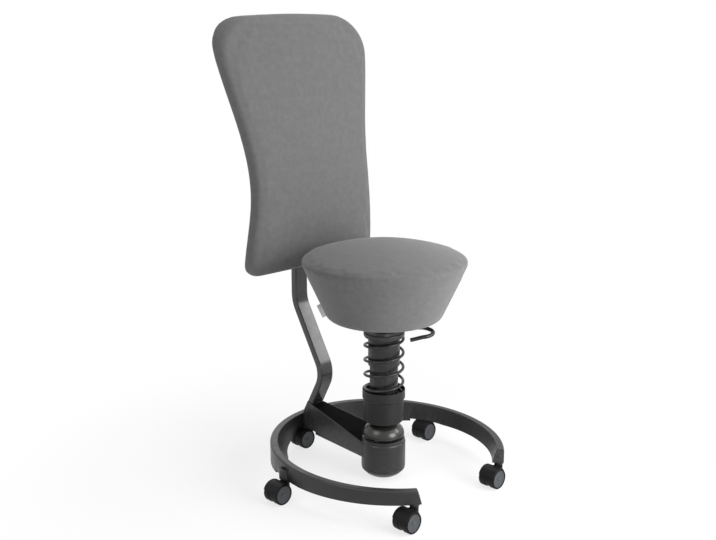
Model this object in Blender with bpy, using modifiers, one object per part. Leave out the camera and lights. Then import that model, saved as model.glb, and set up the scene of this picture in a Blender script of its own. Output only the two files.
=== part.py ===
# A spring balance stool with a backrest, as separate pieces in metres.
# Front is -Y, the user's left is +X and up is +Z. The column stands on the design frame's Z axis.
# At the end the whole stool moves so that the floor is at zero under the middle of its box.

import math

import bmesh
import bpy
from mathutils import Matrix, Vector

# Clearances
TOUCH_GAP = 0.0003
RUN_GAP = 0.0004

# Foot ring
RING_LENGTH = 0.596
RING_WIDTH = 0.552
RING_FORWARD = 0.0085
RING_BAR = 0.020
RING_TOP_BAR = 0.0175
RING_FOOT_BAR = 0.029
RING_WIDE_BAR = 0.0385
RING_EVEN_TURN = math.radians(9.5)
RING_WIDE_TURN = math.radians(44.0)
RING_DRAFT_TURN = math.radians(80.0)
RING_TOP = 0.097
RING_DEPTH_BACK = 0.050
RING_DEPTH_FRONT = 0.0305
RING_OPENING_ANGLE = math.radians(33.2)
RING_END_SLANT = 0.009
RING_EDGE = 0.0018
RING_STEPS = 32

# Casters
CASTER_FLOOR = 0.004
WHEEL_RADIUS = 0.0250
WHEEL_WIDTH = 0.0168
WHEEL_EDGE = 0.0026
HUB_DISC_RADIUS = 0.0205
HUB_DISC_DEPTH = 0.0015
CASTER_WEB = 0.0108
CASTER_TRAIL = 0.0245
AXLE_RADIUS = 0.0035
HOOD_WALL = 0.0014
HOOD_GAP = 0.0008
HOOD_START = math.radians(25.0)
HOOD_END = math.radians(135.0)
SWIVEL_BOSS_RADIUS = 0.010
SWIVEL_BOSS_HEIGHT = 0.0005
STEM_RADIUS = 0.0055
STEM_LENGTH = 0.024
SOCKET_RADIUS = 0.0150
SOCKET_HEIGHT = 0.025
CASTER_FRONT_ANGLE = math.radians(36.3)
CASTER_SIDE_ANGLE = math.radians(105.8)
CASTER_FRONT_INSET = 0.0125
CASTER_SIDE_INSET = 0.003
CASTER_BACK_INSET = 0.020
CASTER_TURN = math.pi

# Foot housing and tilting joint
HOUSING_RADIUS = 0.0545
HOUSING_LIP_RADIUS = 0.0525
HOUSING_LIP_HEIGHT = 0.0075
HOUSING_TOP = 0.105
HOUSING_BOTTOM = 0.030
HOUSING_BORE = 0.040
HOUSING_FLOOR = 0.061
CAP_BOTTOM = 0.009
CAP_FOOT_RADIUS = 0.036
CAP_CHAMFER_RADIUS = 0.0445
CAP_CHAMFER_HEIGHT = 0.0055
PIVOT_HEIGHT = 0.095
GIMBAL_INNER = 0.021
GIMBAL_OUTER = 0.029
GIMBAL_HEIGHT = 0.010
TRUNNION_RADIUS = 0.0045
TRUNNION_DEPTH = 0.005
TILT_GAP = 0.008
BUFFER_INNER = 0.0215
BUFFER_HEIGHT = 0.023

# Column
STEM_POST_RADIUS = 0.016
STEM_BOTTOM = 0.070
DOME_RADIUS = 0.0515
DOME_TOP = 0.134
DOME_TOP_RADIUS = 0.0405
DOME_WALL = 0.0035
LEDGE_RADIUS = 0.028
LEDGE_HEIGHT = 0.008
NECK_RADIUS = 0.024
COLLAR_BOTTOM = 0.150
POST_FLANGE_RADIUS = 0.040
POST_FLANGE_HEIGHT = 0.0045
POST_RADIUS = 0.035
POST_WALL = 0.005
POST_FLOOR = 0.160
COLLAR_RADIUS = 0.049
COLLAR_RIM_RADIUS = 0.0525
COLLAR_RIM_HEIGHT = 0.022
COLLAR_TOP = 0.231
CUP_DEPTH = 0.0155
CUP_WALL = 0.0016
SLEEVE_WALL = 0.0034
SLEEVE_BOTTOM = 0.293
PLATE_RADIUS = 0.050
PLATE_TOP = 0.378
PLATE_THICKNESS = 0.0135
BOUNCE_TRAVEL = 0.045
BOUNCE_STOP = 0.004
TURN_STEPS = 20

# Coil spring
SPRING_WIRE = 0.007
SPRING_PITCH = 0.0368
SPRING_START = math.radians(322.0)
SPRING_END_TURN = 0.30
SPRING_POINTS = 10

# Gas spring
GAS_RADIUS = 0.014
GAS_TOP = 0.4005
VALVE_RADIUS = 0.004
VALVE_LENGTH = 0.0108
VALVE_PROUD = 0.0048
VALVE_TRAVEL = 0.003

# Seat
SEAT_RADIUS = 0.200
SEAT_RIM = 0.549
SEAT_SEAM_RADIUS = 0.1955
SEAT_SEAM = 0.5575
SEAT_CROWN = 0.595
SEAT_BOTTOM = 0.4095
SEAT_BOTTOM_RADIUS = 0.1375
SEAT_CORNER = 0.016
SEAT_CROWN_POINTS = 6
COVER = 0.0018
COVER_GAP = 0.0006
SEAT_POCKET_RADIUS = 0.105
SEAT_BOARD_BOTTOM = 0.4203
SEAT_BOARD = 0.012
SEAT_STEPS = 28
SEAT_PLATE_RADIUS = 0.080
SEAT_PLATE = 0.003
HUB_RADIUS = 0.022
HUB_BOTTOM = 0.380
HUB_SLOT = 0.0115
SCREW_CIRCLE = 0.062
SCREW_RADIUS = 0.0025
SCREW_HEAD_RADIUS = 0.0050
SCREW_HEAD = 0.003
SEAT_SCREW_BITE = 0.009

# Height lever
LEVER_DIRECTION = math.radians(-47.35)
LEVER_ROD = 0.008
LEVER_PIVOT = 0.034
LEVER_TIP = -0.005
LEVER_LIFT_GAP = 0.0004
LEVER_DROP = 0.0275
LEVER_DROP_START = 0.046
LEVER_DROP_END = 0.080
LEVER_REACH = 0.092
LEVER_HOOK_RADIUS = 0.025
LEVER_TAIL = 0.030
LEVER_TAIL_DROP = 0.012
LEVER_PIN_RADIUS = 0.002
LEVER_EAR = 0.003
LEVER_EAR_GAP = 0.0010

# Arm and backrest bar
BAR_WIDTH = 0.042
BAR_THICKNESS = 0.018
BAR_EDGE = 0.003
BAR_UPRIGHT_Y = 0.300
BAR_TOP = 0.735
BAR_KNEE_Y = 0.198
BAR_KNEE_Z = 0.2186
BAR_KNEE_RADIUS = 0.065
BAR_SLANT = math.radians(29.7)
BAR_FOOT_SLANT = math.radians(27.6)
BAR_FOOT_Z = 0.133
BAR_BEND_RADIUS = 0.085
BAR_BEND_STEPS = 6
ARM_TOP_AT_COLUMN = 0.0895
ARM_BOTTOM_AT_COLUMN = 0.0580
ARM_BOTTOM_AT_RING = 0.0575
ARM_WIDTH_AT_COLUMN = 0.108
ARM_COVER = 0.003
ARM_COVER_MARGIN = 0.003

# Backrest
BACK_BOTTOM = 0.500
BACK_TOP = 1.1206
BACK_WAIST_Z = 0.730
BACK_SHOULDER_Z = 1.118
BACK_BOTTOM_WIDTH = 0.417
BACK_WAIST_WIDTH = 0.381
BACK_TOP_WIDTH = 0.488
BACK_THICKNESS = 0.050
BACK_REAR_CORNER = (0.078, 0.070)
BACK_FACE_CORNER = (0.128, 0.100)
BACK_ARCH = 0.010
BACK_BOTTOM_CORNER = 0.030
BACK_EDGE = 0.016
BACK_CROWN = 0.006
LUMBAR_Z = 0.692
LUMBAR_Y = 0.2195
LUMBAR_SOFTNESS = 0.080
BACK_LEAN = 0.213
BACK_TUCK = 0.125
BACK_BOARD = 0.008
BACK_BOARD_INSET = 0.024
BOARD_STEPS = 26
BRACKET_WIDTH = 0.096
BRACKET_BOTTOM = 0.560
BRACKET_TOP = 0.700
BRACKET_SCREW_X = 0.036
BRACKET_SCREW_MARGIN = 0.022
BRACKET_FLANGE = 0.004
BACK_SCREW_BITE = 0.006
BOLT_RADIUS = 0.004
BOLT_HEAD_RADIUS = 0.0065
BOLT_HEAD = 0.004
BOLT_MARGIN = 0.045

# Values that follow from the sizes above
UP = Vector((0.0, 0.0, 1.0))
CASTER_TOP = WHEEL_RADIUS + WHEEL_RADIUS + HOOD_GAP + HOOD_WALL + SWIVEL_BOSS_HEIGHT
SOCKET_BOTTOM = CASTER_FLOOR + CASTER_TOP + TOUCH_GAP
PLATE_BOTTOM = PLATE_TOP - PLATE_THICKNESS
POST_TOP = PLATE_BOTTOM - BOUNCE_TRAVEL - BOUNCE_STOP
SLEEVE_BORE = POST_RADIUS + RUN_GAP
SLEEVE_RADIUS = SLEEVE_BORE + SLEEVE_WALL
CUP_FLOOR = COLLAR_TOP - CUP_DEPTH
SPRING_OUTER = COLLAR_RIM_RADIUS - CUP_WALL - RUN_GAP
SPRING_RADIUS = SPRING_OUTER - SPRING_WIRE / 2
GAS_BOTTOM = POST_FLOOR + BOUNCE_TRAVEL + BOUNCE_STOP
DOME_BOTTOM = HOUSING_TOP + TILT_GAP
SEAT_PLATE_TOP = SEAT_BOARD_BOTTOM - TOUCH_GAP
SEAT_PLATE_BOTTOM = SEAT_PLATE_TOP - SEAT_PLATE
VALVE_TOP = GAS_TOP + VALVE_PROUD
LEVER_HEIGHT = VALVE_TOP + LEVER_LIFT_GAP + LEVER_ROD / 2
FOAM_INSET = COVER + COVER_GAP

scene = bpy.context.scene
parts = None
cutters = None
root = None


def clear_scene():
    for old in list(bpy.data.objects):
        bpy.data.objects.remove(old, do_unlink=True)


def make_collections():
    global parts, cutters, root
    parts = bpy.data.collections.new("spring_balance_stool")
    cutters = bpy.data.collections.new("cutters")
    scene.collection.children.link(parts)
    scene.collection.children.link(cutters)
    root = bpy.data.objects.new("stool_frame", None)
    parts.objects.link(root)


def material(name, colour, roughness, metallic=0.0):
    made = bpy.data.materials.new(name)
    made.use_nodes = True
    shader = made.node_tree.nodes["Principled BSDF"]
    shader.inputs["Base Color"].default_value = (*colour, 1.0)
    shader.inputs["Roughness"].default_value = roughness
    shader.inputs["Metallic"].default_value = metallic
    return made


# Objects from meshes

def smooth(mesh, angle=math.radians(40.0)):
    mesh.shade_smooth()
    mesh.set_sharp_from_angle(angle=angle)


def place(name, mesh, finish, location=(0.0, 0.0, 0.0), turn=0.0):
    made = bpy.data.objects.new(name, mesh)
    made.location = location
    made.rotation_euler = (0.0, 0.0, turn)
    made.parent = root
    if not mesh.materials:
        mesh.materials.append(finish)
    parts.objects.link(made)
    return made


def as_cutter(piece):
    if piece.name in parts.objects:
        parts.objects.unlink(piece)
    cutters.objects.link(piece)
    piece.hide_render = True
    piece.display_type = "WIRE"


def combine(target, other, operation):
    step = target.modifiers.new(operation.lower(), "BOOLEAN")
    step.operation = operation
    step.solver = "EXACT"
    step.object = other
    as_cutter(other)


def cut(target, other):
    combine(target, other, "DIFFERENCE")


def join(target, other):
    combine(target, other, "UNION")


def settled_mesh(piece, name):
    # The piece's mesh with its modifiers in it
    bpy.context.view_layer.update()
    graph = bpy.context.evaluated_depsgraph_get()
    return_mesh = bpy.data.meshes.new_from_object(piece.evaluated_get(graph))
    return_mesh.name = name
    return return_mesh


def weld(mesh, distance=0.000001):
    edit = bmesh.new()
    edit.from_mesh(mesh)
    bmesh.ops.remove_doubles(edit, verts=edit.verts, dist=distance)
    bmesh.ops.recalc_face_normals(edit, faces=edit.faces)
    edit.to_mesh(mesh)
    edit.free()


def cylinder_mesh(name, radius, start, end, segments=16):
    # A closed cylinder between two points
    start = Vector(start)
    end = Vector(end)
    run = end - start
    lie = UP.rotation_difference(run).to_matrix().to_4x4()
    matrix = Matrix.Translation((start + end) / 2) @ lie
    edit = bmesh.new()
    bmesh.ops.create_cone(edit, cap_ends=True, segments=segments, radius1=radius, radius2=radius,
                          depth=run.length, matrix=matrix)
    mesh = bpy.data.meshes.new(name)
    edit.to_mesh(mesh)
    edit.free()
    smooth(mesh)
    return mesh


def cylinder(name, radius, start, end, finish, segments=16):
    return place(name, cylinder_mesh(name, radius, start, end, segments), finish)


def box(name, low, high, finish, turn=Matrix()):
    low = Vector(low)
    high = Vector(high)
    size = Matrix.Diagonal((*(high - low), 1.0))
    edit = bmesh.new()
    bmesh.ops.create_cube(edit, size=1.0, matrix=turn @ Matrix.Translation((low + high) / 2) @ size)
    mesh = bpy.data.meshes.new(name)
    edit.to_mesh(mesh)
    edit.free()
    return place(name, mesh, finish)


def turned(name, profile, finish, closed=False, steps=TURN_STEPS):
    # A profile of radius and height, down its outer side, swept round Z
    edges = [(i, i + 1) for i in range(len(profile) - 1)]
    if closed:
        edges.append((len(profile) - 1, 0))
    mesh = bpy.data.meshes.new(name)
    mesh.from_pydata([(radius, 0.0, height) for radius, height in profile], edges, [])
    piece = place(name, mesh, finish)
    sweep = piece.modifiers.new("turn", "SCREW")
    sweep.axis = "Z"
    sweep.angle = 2.0 * math.pi
    sweep.steps = steps
    sweep.render_steps = steps
    sweep.use_merge_vertices = True
    sweep.merge_threshold = 0.00001
    sweep.use_smooth_shade = True
    return piece


def outline_mesh(name, points, thickness, lie=Matrix()):
    # A flat outline filled and given an even thickness about its plane
    curve = bpy.data.curves.new(name, "CURVE")
    curve.dimensions = "2D"
    curve.fill_mode = "BOTH"
    curve.extrude = thickness / 2
    spline = curve.splines.new("POLY")
    spline.points.add(len(points) - 1)
    for point, (x, y) in zip(spline.points, points):
        point.co = (x, y, 0.0, 1.0)
    spline.use_cyclic_u = True
    holder = bpy.data.objects.new(name, curve)
    scene.collection.objects.link(holder)
    mesh = settled_mesh(holder, name)
    bpy.data.objects.remove(holder, do_unlink=True)
    weld(mesh)
    mesh.transform(lie)
    return mesh


def tube_mesh(name, points, radius, resolution):
    curve = bpy.data.curves.new(name, "CURVE")
    curve.dimensions = "3D"
    curve.bevel_depth = radius
    curve.bevel_resolution = resolution
    curve.use_fill_caps = True
    spline = curve.splines.new("POLY")
    spline.points.add(len(points) - 1)
    for point, place_at in zip(spline.points, points):
        point.co = (*place_at, 1.0)
    holder = bpy.data.objects.new(name, curve)
    scene.collection.objects.link(holder)
    mesh = settled_mesh(holder, name)
    bpy.data.objects.remove(holder, do_unlink=True)
    weld(mesh)
    smooth(mesh)
    return mesh


def round_edges(piece, width, segments=2):
    step = piece.modifiers.new("edges", "BEVEL")
    step.width = width
    step.segments = segments
    step.limit_method = "ANGLE"
    step.angle_limit = math.radians(50.0)


# A plane standing on edge: outline x runs back along +Y and outline y runs up
SIDE_PLANE = Matrix(((0, 0, 1, 0), (1, 0, 0, 0), (0, 1, 0, 0), (0, 0, 0, 1)))
# A plane facing the user: outline x runs along +X and outline y runs up
FRONT_PLANE = Matrix(((1, 0, 0, 0), (0, 0, -1, 0), (0, 1, 0, 0), (0, 0, 0, 1)))


# Foot ring

def ring_point(angle, inset):
    # A point of the ring's oval, with the angle taken from the front round to the user's left
    across = RING_WIDTH / 2 - inset
    along = RING_LENGTH / 2 - inset
    return Vector((across * math.sin(angle), -along * math.cos(angle) - RING_FORWARD))


def ring_floor(y):
    # The ring gets deeper towards the back, as far as the casters below it allow
    back = ring_point(math.pi, 0.0).y
    front = ring_point(RING_OPENING_ANGLE, 0.0).y
    share = (back - y) / (back - front)
    floor = RING_TOP - RING_DEPTH_BACK - share * (RING_DEPTH_FRONT - RING_DEPTH_BACK)
    return max(floor, SOCKET_BOTTOM + TOUCH_GAP)


def ring_top_bar(angle):
    turn = abs(angle - math.pi) - RING_EVEN_TURN
    share = min(max(turn / (RING_DRAFT_TURN - RING_EVEN_TURN), 0.0), 1.0)
    return RING_BAR + share * (RING_TOP_BAR - RING_BAR)


def ring_foot_bar(angle):
    # The inner face is upright behind the arm, and slopes in below most of all beside it
    turn = abs(angle - math.pi)
    if turn > RING_WIDE_TURN:
        share = ease((RING_DRAFT_TURN - turn) / (RING_DRAFT_TURN - RING_WIDE_TURN))
        return RING_FOOT_BAR + share * (RING_WIDE_BAR - RING_FOOT_BAR)
    share = max((turn - RING_EVEN_TURN) / (RING_WIDE_TURN - RING_EVEN_TURN), 0.0)
    return RING_BAR + share * (RING_WIDE_BAR - RING_BAR)


def caster_places():
    return {
        "back": ring_point(math.pi, CASTER_BACK_INSET),
        "left": ring_point(CASTER_SIDE_ANGLE, CASTER_SIDE_INSET),
        "right": ring_point(-CASTER_SIDE_ANGLE, CASTER_SIDE_INSET),
        "front_left": ring_point(CASTER_FRONT_ANGLE, CASTER_FRONT_INSET),
        "front_right": ring_point(-CASTER_FRONT_ANGLE, CASTER_FRONT_INSET),
    }


def make_ring(finish):
    # A loft round the ring, whose ends slant back towards their top
    span = 2.0 * (math.pi - RING_OPENING_ANGLE)
    angles = [RING_OPENING_ANGLE + span * i / RING_STEPS for i in range(RING_STEPS + 1)]
    outer = [ring_point(angle, 0.0) for angle in angles]
    slants = [Vector((0.0, 0.0)) for angle in angles]
    slants[0] = (outer[1] - outer[0]).normalized() * RING_END_SLANT
    slants[-1] = (outer[-2] - outer[-1]).normalized() * RING_END_SLANT
    edit = bmesh.new()
    loops = []
    for angle, edge, slant in zip(angles, outer, slants):
        inner = ring_point(angle, ring_top_bar(angle))
        foot = ring_point(angle, ring_foot_bar(angle))
        corners = [(*(edge + slant), RING_TOP), (*(inner + slant), RING_TOP),
                   (*foot, ring_floor(foot.y)), (*edge, ring_floor(edge.y))]
        loops.append([edit.verts.new(corner) for corner in corners])
    for near, far in zip(loops, loops[1:]):
        for i in range(len(near)):
            after = (i + 1) % len(near)
            edit.faces.new((near[i], near[after], far[after], far[i]))
    edit.faces.new(loops[0][::-1])
    edit.faces.new(loops[-1])
    bmesh.ops.recalc_face_normals(edit, faces=edit.faces)
    mesh = bpy.data.meshes.new("base_ring")
    edit.to_mesh(mesh)
    edit.free()
    ring = place("base_ring", mesh, finish)
    round_edges(ring, RING_EDGE, 1)
    for side, spot in caster_places().items():
        at = (spot.x, spot.y)
        boss = cylinder("socket_" + side, SOCKET_RADIUS, (*at, SOCKET_BOTTOM),
                        (*at, SOCKET_BOTTOM + SOCKET_HEIGHT), finish, 10)
        join(ring, boss)
    for side, spot in caster_places().items():
        at = (spot.x, spot.y)
        bore = cylinder("stem_bore_" + side, STEM_RADIUS + RUN_GAP, (*at, SOCKET_BOTTOM - STEM_LENGTH),
                        (*at, SOCKET_BOTTOM + STEM_LENGTH + RUN_GAP), finish, 8)
        cut(ring, bore)
    return ring


# Casters

def hood_outline():
    # A band over the wheels, about the axle, in the plane of the wheels
    inner = WHEEL_RADIUS + HOOD_GAP
    outer = inner + HOOD_WALL
    steps = 6
    angles = [HOOD_START + (HOOD_END - HOOD_START) * i / steps for i in range(steps + 1)]
    rim = [(outer * math.cos(a), outer * math.sin(a)) for a in angles]
    back = [(inner * math.cos(a), inner * math.sin(a)) for a in reversed(angles)]
    return rim + back


def caster_body_mesh(finish):
    # The swivel stem is on Z, and the axle lies CASTER_TRAIL ahead on +X
    wheel_plane = Matrix(((1, 0, 0, CASTER_TRAIL), (0, 0, -1, 0), (0, 1, 0, WHEEL_RADIUS), (0, 0, 0, 1)))
    axle = Vector((CASTER_TRAIL, 0.0, WHEEL_RADIUS))
    side = Vector((0.0, CASTER_WEB / 2, 0.0))
    web_radius = WHEEL_RADIUS - HOOD_WALL
    hood_top = CASTER_TOP - SWIVEL_BOSS_HEIGHT
    body = cylinder("caster_web", web_radius, axle - side, axle + side, finish, 14)
    neck_side = CASTER_WEB / 2 - TOUCH_GAP
    neck = box("caster_neck", (-SWIVEL_BOSS_RADIUS, -neck_side, WHEEL_RADIUS),
               (CASTER_TRAIL, neck_side, hood_top - HOOD_WALL / 2), finish)
    hood_width = CASTER_WEB + 2 * WHEEL_WIDTH
    hood = outline_mesh("caster_hood", hood_outline(), hood_width, wheel_plane)
    hood = place("caster_hood", hood, finish)
    boss = cylinder("caster_boss", SWIVEL_BOSS_RADIUS, (0, 0, hood_top - HOOD_WALL), (0, 0, CASTER_TOP),
                    finish, 10)
    stem = cylinder("caster_stem", STEM_RADIUS, (0, 0, hood_top), (0, 0, CASTER_TOP + STEM_LENGTH),
                    finish, 8)
    for piece in (neck, hood, boss, stem):
        join(body, piece)
    bore = cylinder("axle_bore", AXLE_RADIUS + TOUCH_GAP, axle - 2 * side, axle + 2 * side, finish, 12)
    cut(body, bore)
    mesh = settled_mesh(body, "caster_body")
    for piece in (body, neck, hood, boss, stem, bore):
        bpy.data.objects.remove(piece, do_unlink=True)
    weld(mesh)
    smooth(mesh)
    return mesh


def wheel_mesh(finish):
    # A wheel about Z with its dished disc at the top, laid on its side afterwards
    inner = CASTER_WEB / 2 + RUN_GAP
    outer = inner + WHEEL_WIDTH
    bore = AXLE_RADIUS + RUN_GAP
    profile = [
        (bore, outer - HUB_DISC_DEPTH),
        (HUB_DISC_RADIUS, outer - HUB_DISC_DEPTH),
        (HUB_DISC_RADIUS + HUB_DISC_DEPTH, outer),
        (WHEEL_RADIUS - WHEEL_EDGE, outer),
        (WHEEL_RADIUS, outer - WHEEL_EDGE),
        (WHEEL_RADIUS, inner + WHEEL_EDGE / 2),
        (WHEEL_RADIUS - WHEEL_EDGE / 2, inner),
        (bore, inner),
    ]
    wheel = turned("caster_wheel", profile, finish, closed=True, steps=16)
    mesh = settled_mesh(wheel, "caster_wheel")
    bpy.data.objects.remove(wheel, do_unlink=True)
    smooth(mesh)
    return mesh


def make_casters(body_finish, wheel_finish, steel):
    body = caster_body_mesh(body_finish)
    left = wheel_mesh(wheel_finish)
    right = left.copy()
    left.transform(Matrix.Rotation(-math.pi / 2, 4, "X"))
    right.transform(Matrix.Rotation(math.pi / 2, 4, "X"))
    reach = CASTER_WEB / 2 + RUN_GAP + WHEEL_WIDTH - HUB_DISC_DEPTH
    axle = cylinder_mesh("caster_axle", AXLE_RADIUS, (0, -reach, 0), (0, reach, 0), 12)
    trail = Matrix.Rotation(CASTER_TURN, 3, "Z") @ Vector((CASTER_TRAIL, 0.0, WHEEL_RADIUS))
    for side, spot in caster_places().items():
        swivel = Vector((spot.x, spot.y, CASTER_FLOOR))
        place("caster_body_" + side, body, body_finish, swivel, CASTER_TURN)
        place("caster_axle_" + side, axle, steel, swivel + trail, CASTER_TURN)
        place("caster_wheel_" + side + "_a", left, wheel_finish, swivel + trail, CASTER_TURN)
        place("caster_wheel_" + side + "_b", right, wheel_finish, swivel + trail, CASTER_TURN)


# Foot housing and tilting joint

def make_housing(finish, rubber, steel):
    housing = turned("foot_housing", [
        (0.0, HOUSING_FLOOR),
        (HOUSING_BORE, HOUSING_FLOOR),
        (HOUSING_BORE, HOUSING_TOP),
        (HOUSING_LIP_RADIUS, HOUSING_TOP),
        (HOUSING_LIP_RADIUS, HOUSING_TOP - HOUSING_LIP_HEIGHT),
        (HOUSING_RADIUS, HOUSING_TOP - HOUSING_LIP_HEIGHT - (HOUSING_RADIUS - HOUSING_LIP_RADIUS)),
        (HOUSING_RADIUS, HOUSING_BOTTOM),
        (0.0, HOUSING_BOTTOM),
    ], finish)
    reach = HOUSING_BORE + TRUNNION_DEPTH
    bore = cylinder("tilt_bore", TRUNNION_RADIUS + TOUCH_GAP, (-reach - RUN_GAP, 0, PIVOT_HEIGHT),
                    (reach + RUN_GAP, 0, PIVOT_HEIGHT), finish, 12)
    cut(housing, bore)
    cap_top = HOUSING_BOTTOM - TOUCH_GAP
    turned("foot_cap", [
        (0.0, cap_top),
        (HOUSING_RADIUS, cap_top),
        (HOUSING_RADIUS - CAP_CHAMFER_HEIGHT / 4, cap_top - CAP_CHAMFER_HEIGHT),
        (CAP_CHAMFER_RADIUS, CAP_BOTTOM + CAP_CHAMFER_HEIGHT),
        (CAP_FOOT_RADIUS, CAP_BOTTOM),
        (0.0, CAP_BOTTOM),
    ], finish)
    low = HOUSING_FLOOR + TOUCH_GAP
    outer = HOUSING_BORE - TOUCH_GAP
    turned("tilt_buffer", [
        (BUFFER_INNER, low + BUFFER_HEIGHT),
        (outer, low + BUFFER_HEIGHT),
        (outer, low),
        (BUFFER_INNER, low),
    ], rubber, closed=True)
    half = GIMBAL_HEIGHT / 2
    gimbal = turned("gimbal_ring", [
        (GIMBAL_INNER, PIVOT_HEIGHT + half),
        (GIMBAL_OUTER, PIVOT_HEIGHT + half),
        (GIMBAL_OUTER, PIVOT_HEIGHT - half),
        (GIMBAL_INNER, PIVOT_HEIGHT - half),
    ], steel, closed=True)
    middle = (GIMBAL_INNER + GIMBAL_OUTER) / 2
    inward = STEM_POST_RADIUS - TRUNNION_DEPTH
    for sign in (-1, 1):
        outer_pin = cylinder("outer_trunnion", TRUNNION_RADIUS, (sign * middle, 0, PIVOT_HEIGHT),
                             (sign * reach, 0, PIVOT_HEIGHT), steel, 12)
        inner_pin = cylinder("inner_trunnion", TRUNNION_RADIUS, (0, sign * inward, PIVOT_HEIGHT),
                             (0, sign * middle, PIVOT_HEIGHT), steel, 12)
        join(gimbal, outer_pin)
        join(gimbal, inner_pin)


# Column

def dome_arc(shrink):
    # A quarter of an ellipse from the dome's flat top out and down to its rim
    steps = 5
    across = DOME_RADIUS - DOME_TOP_RADIUS
    height = DOME_TOP - DOME_BOTTOM - shrink
    points = []
    for i in range(steps + 1):
        angle = math.pi / 2 * i / steps
        points.append((DOME_TOP_RADIUS - shrink + across * math.sin(angle),
                       DOME_BOTTOM + height * math.cos(angle)))
    return points


def make_column(finish, plastic):
    bore = POST_RADIUS - POST_WALL
    seat_z = COLLAR_BOTTOM + TOUCH_GAP
    ledge = DOME_TOP - DOME_WALL - TOUCH_GAP
    post = turned("column_post", [
        (0.0, POST_FLOOR),
        (bore, POST_FLOOR),
        (bore, POST_TOP),
        (POST_RADIUS, POST_TOP),
        (POST_RADIUS, seat_z + POST_FLANGE_HEIGHT),
        (POST_FLANGE_RADIUS, seat_z + POST_FLANGE_HEIGHT),
        (POST_FLANGE_RADIUS, seat_z),
        (NECK_RADIUS, seat_z),
        (NECK_RADIUS, ledge),
        (LEDGE_RADIUS, ledge),
        (LEDGE_RADIUS, ledge - LEDGE_HEIGHT),
        (STEM_POST_RADIUS, ledge - LEDGE_HEIGHT),
        (STEM_POST_RADIUS, STEM_BOTTOM),
        (0.0, STEM_BOTTOM),
    ], finish)
    reach = STEM_POST_RADIUS * 2
    pin_bore = cylinder("side_tilt_bore", TRUNNION_RADIUS + TOUCH_GAP, (0, -reach, PIVOT_HEIGHT),
                        (0, reach, PIVOT_HEIGHT), finish, 12)
    cut(post, pin_bore)
    outer = dome_arc(0.0)
    inner = dome_arc(DOME_WALL)
    hole = NECK_RADIUS + TOUCH_GAP
    turned("tilt_dome", [(hole, DOME_TOP)] + outer + inner[::-1] + [(hole, DOME_TOP - DOME_WALL)],
           plastic, closed=True)


def make_collar(finish):
    # The flats of the bores stay clear of the post at every turn of the collar
    flats = math.cos(math.pi / TURN_STEPS)
    bore = (POST_RADIUS + RUN_GAP) / flats
    step = COLLAR_BOTTOM + 2 * TOUCH_GAP + POST_FLANGE_HEIGHT
    counterbore = (POST_FLANGE_RADIUS + RUN_GAP) / flats
    rim_low = COLLAR_TOP - COLLAR_RIM_HEIGHT
    chamfer = COLLAR_RIM_RADIUS - COLLAR_RADIUS
    turned("spring_collar", [
        (bore, CUP_FLOOR),
        (COLLAR_RIM_RADIUS - CUP_WALL, CUP_FLOOR),
        (COLLAR_RIM_RADIUS - CUP_WALL, COLLAR_TOP),
        (COLLAR_RIM_RADIUS, COLLAR_TOP),
        (COLLAR_RIM_RADIUS, rim_low),
        (COLLAR_RADIUS, rim_low - chamfer),
        (COLLAR_RADIUS, COLLAR_BOTTOM + chamfer / 2),
        (COLLAR_RADIUS - chamfer / 2, COLLAR_BOTTOM),
        (counterbore, COLLAR_BOTTOM),
        (counterbore, step),
        (bore, step),
    ], finish, closed=True)


def make_slider(finish, steel):
    # The sleeve, spring plate and gas spring that move down on the spring
    top = PLATE_BOTTOM - TOUCH_GAP
    turned("column_sleeve", [
        (SLEEVE_BORE, top),
        (SLEEVE_RADIUS, top),
        (SLEEVE_RADIUS, SLEEVE_BOTTOM),
        (SLEEVE_BORE, SLEEVE_BOTTOM),
    ], finish, closed=True)
    bore = GAS_RADIUS + RUN_GAP
    edge = PLATE_THICKNESS / 3
    turned("spring_plate", [
        (bore, PLATE_TOP),
        (PLATE_RADIUS - edge / 2, PLATE_TOP),
        (PLATE_RADIUS, PLATE_TOP - edge / 2),
        (PLATE_RADIUS, PLATE_BOTTOM + edge),
        (PLATE_RADIUS - edge / 2, PLATE_BOTTOM),
        (bore, PLATE_BOTTOM),
    ], finish, closed=True)
    valve_bore = VALVE_RADIUS + RUN_GAP
    valve_floor = VALVE_TOP - VALVE_LENGTH - VALVE_TRAVEL - RUN_GAP
    turned("gas_spring", [
        (0.0, valve_floor),
        (valve_bore, valve_floor),
        (valve_bore, GAS_TOP),
        (GAS_RADIUS, GAS_TOP),
        (GAS_RADIUS, GAS_BOTTOM),
        (0.0, GAS_BOTTOM),
    ], steel, steps=20)
    cylinder("valve_pin", VALVE_RADIUS, (0, 0, VALVE_TOP - VALVE_LENGTH), (0, 0, VALVE_TOP), steel, 12)


def spring_points():
    low = CUP_FLOOR + TOUCH_GAP + SPRING_WIRE / 2
    high = PLATE_BOTTOM - TOUCH_GAP - SPRING_WIRE / 2
    turns = (high - low) / SPRING_PITCH + SPRING_END_TURN
    count = round(turns * SPRING_POINTS)
    points = []
    for i in range(count + 1):
        turn = turns * i / count
        rise = turn - SPRING_END_TURN / 2
        if turn < SPRING_END_TURN:
            rise = turn * turn / (2 * SPRING_END_TURN)
        elif turns - turn < SPRING_END_TURN:
            left = turns - turn
            rise = turns - SPRING_END_TURN - left * left / (2 * SPRING_END_TURN)
        angle = SPRING_START + 2 * math.pi * turn
        points.append(Vector((SPRING_RADIUS * math.cos(angle), SPRING_RADIUS * math.sin(angle),
                              low + rise * SPRING_PITCH)))
    return points


def least_gap(points, wire, skip):
    # The least distance between two stretches of a tube, less its thickness
    nearest = math.inf
    for i, first in enumerate(points):
        for second in points[i + skip:]:
            nearest = min(nearest, (first - second).length)
    return nearest - wire


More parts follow.
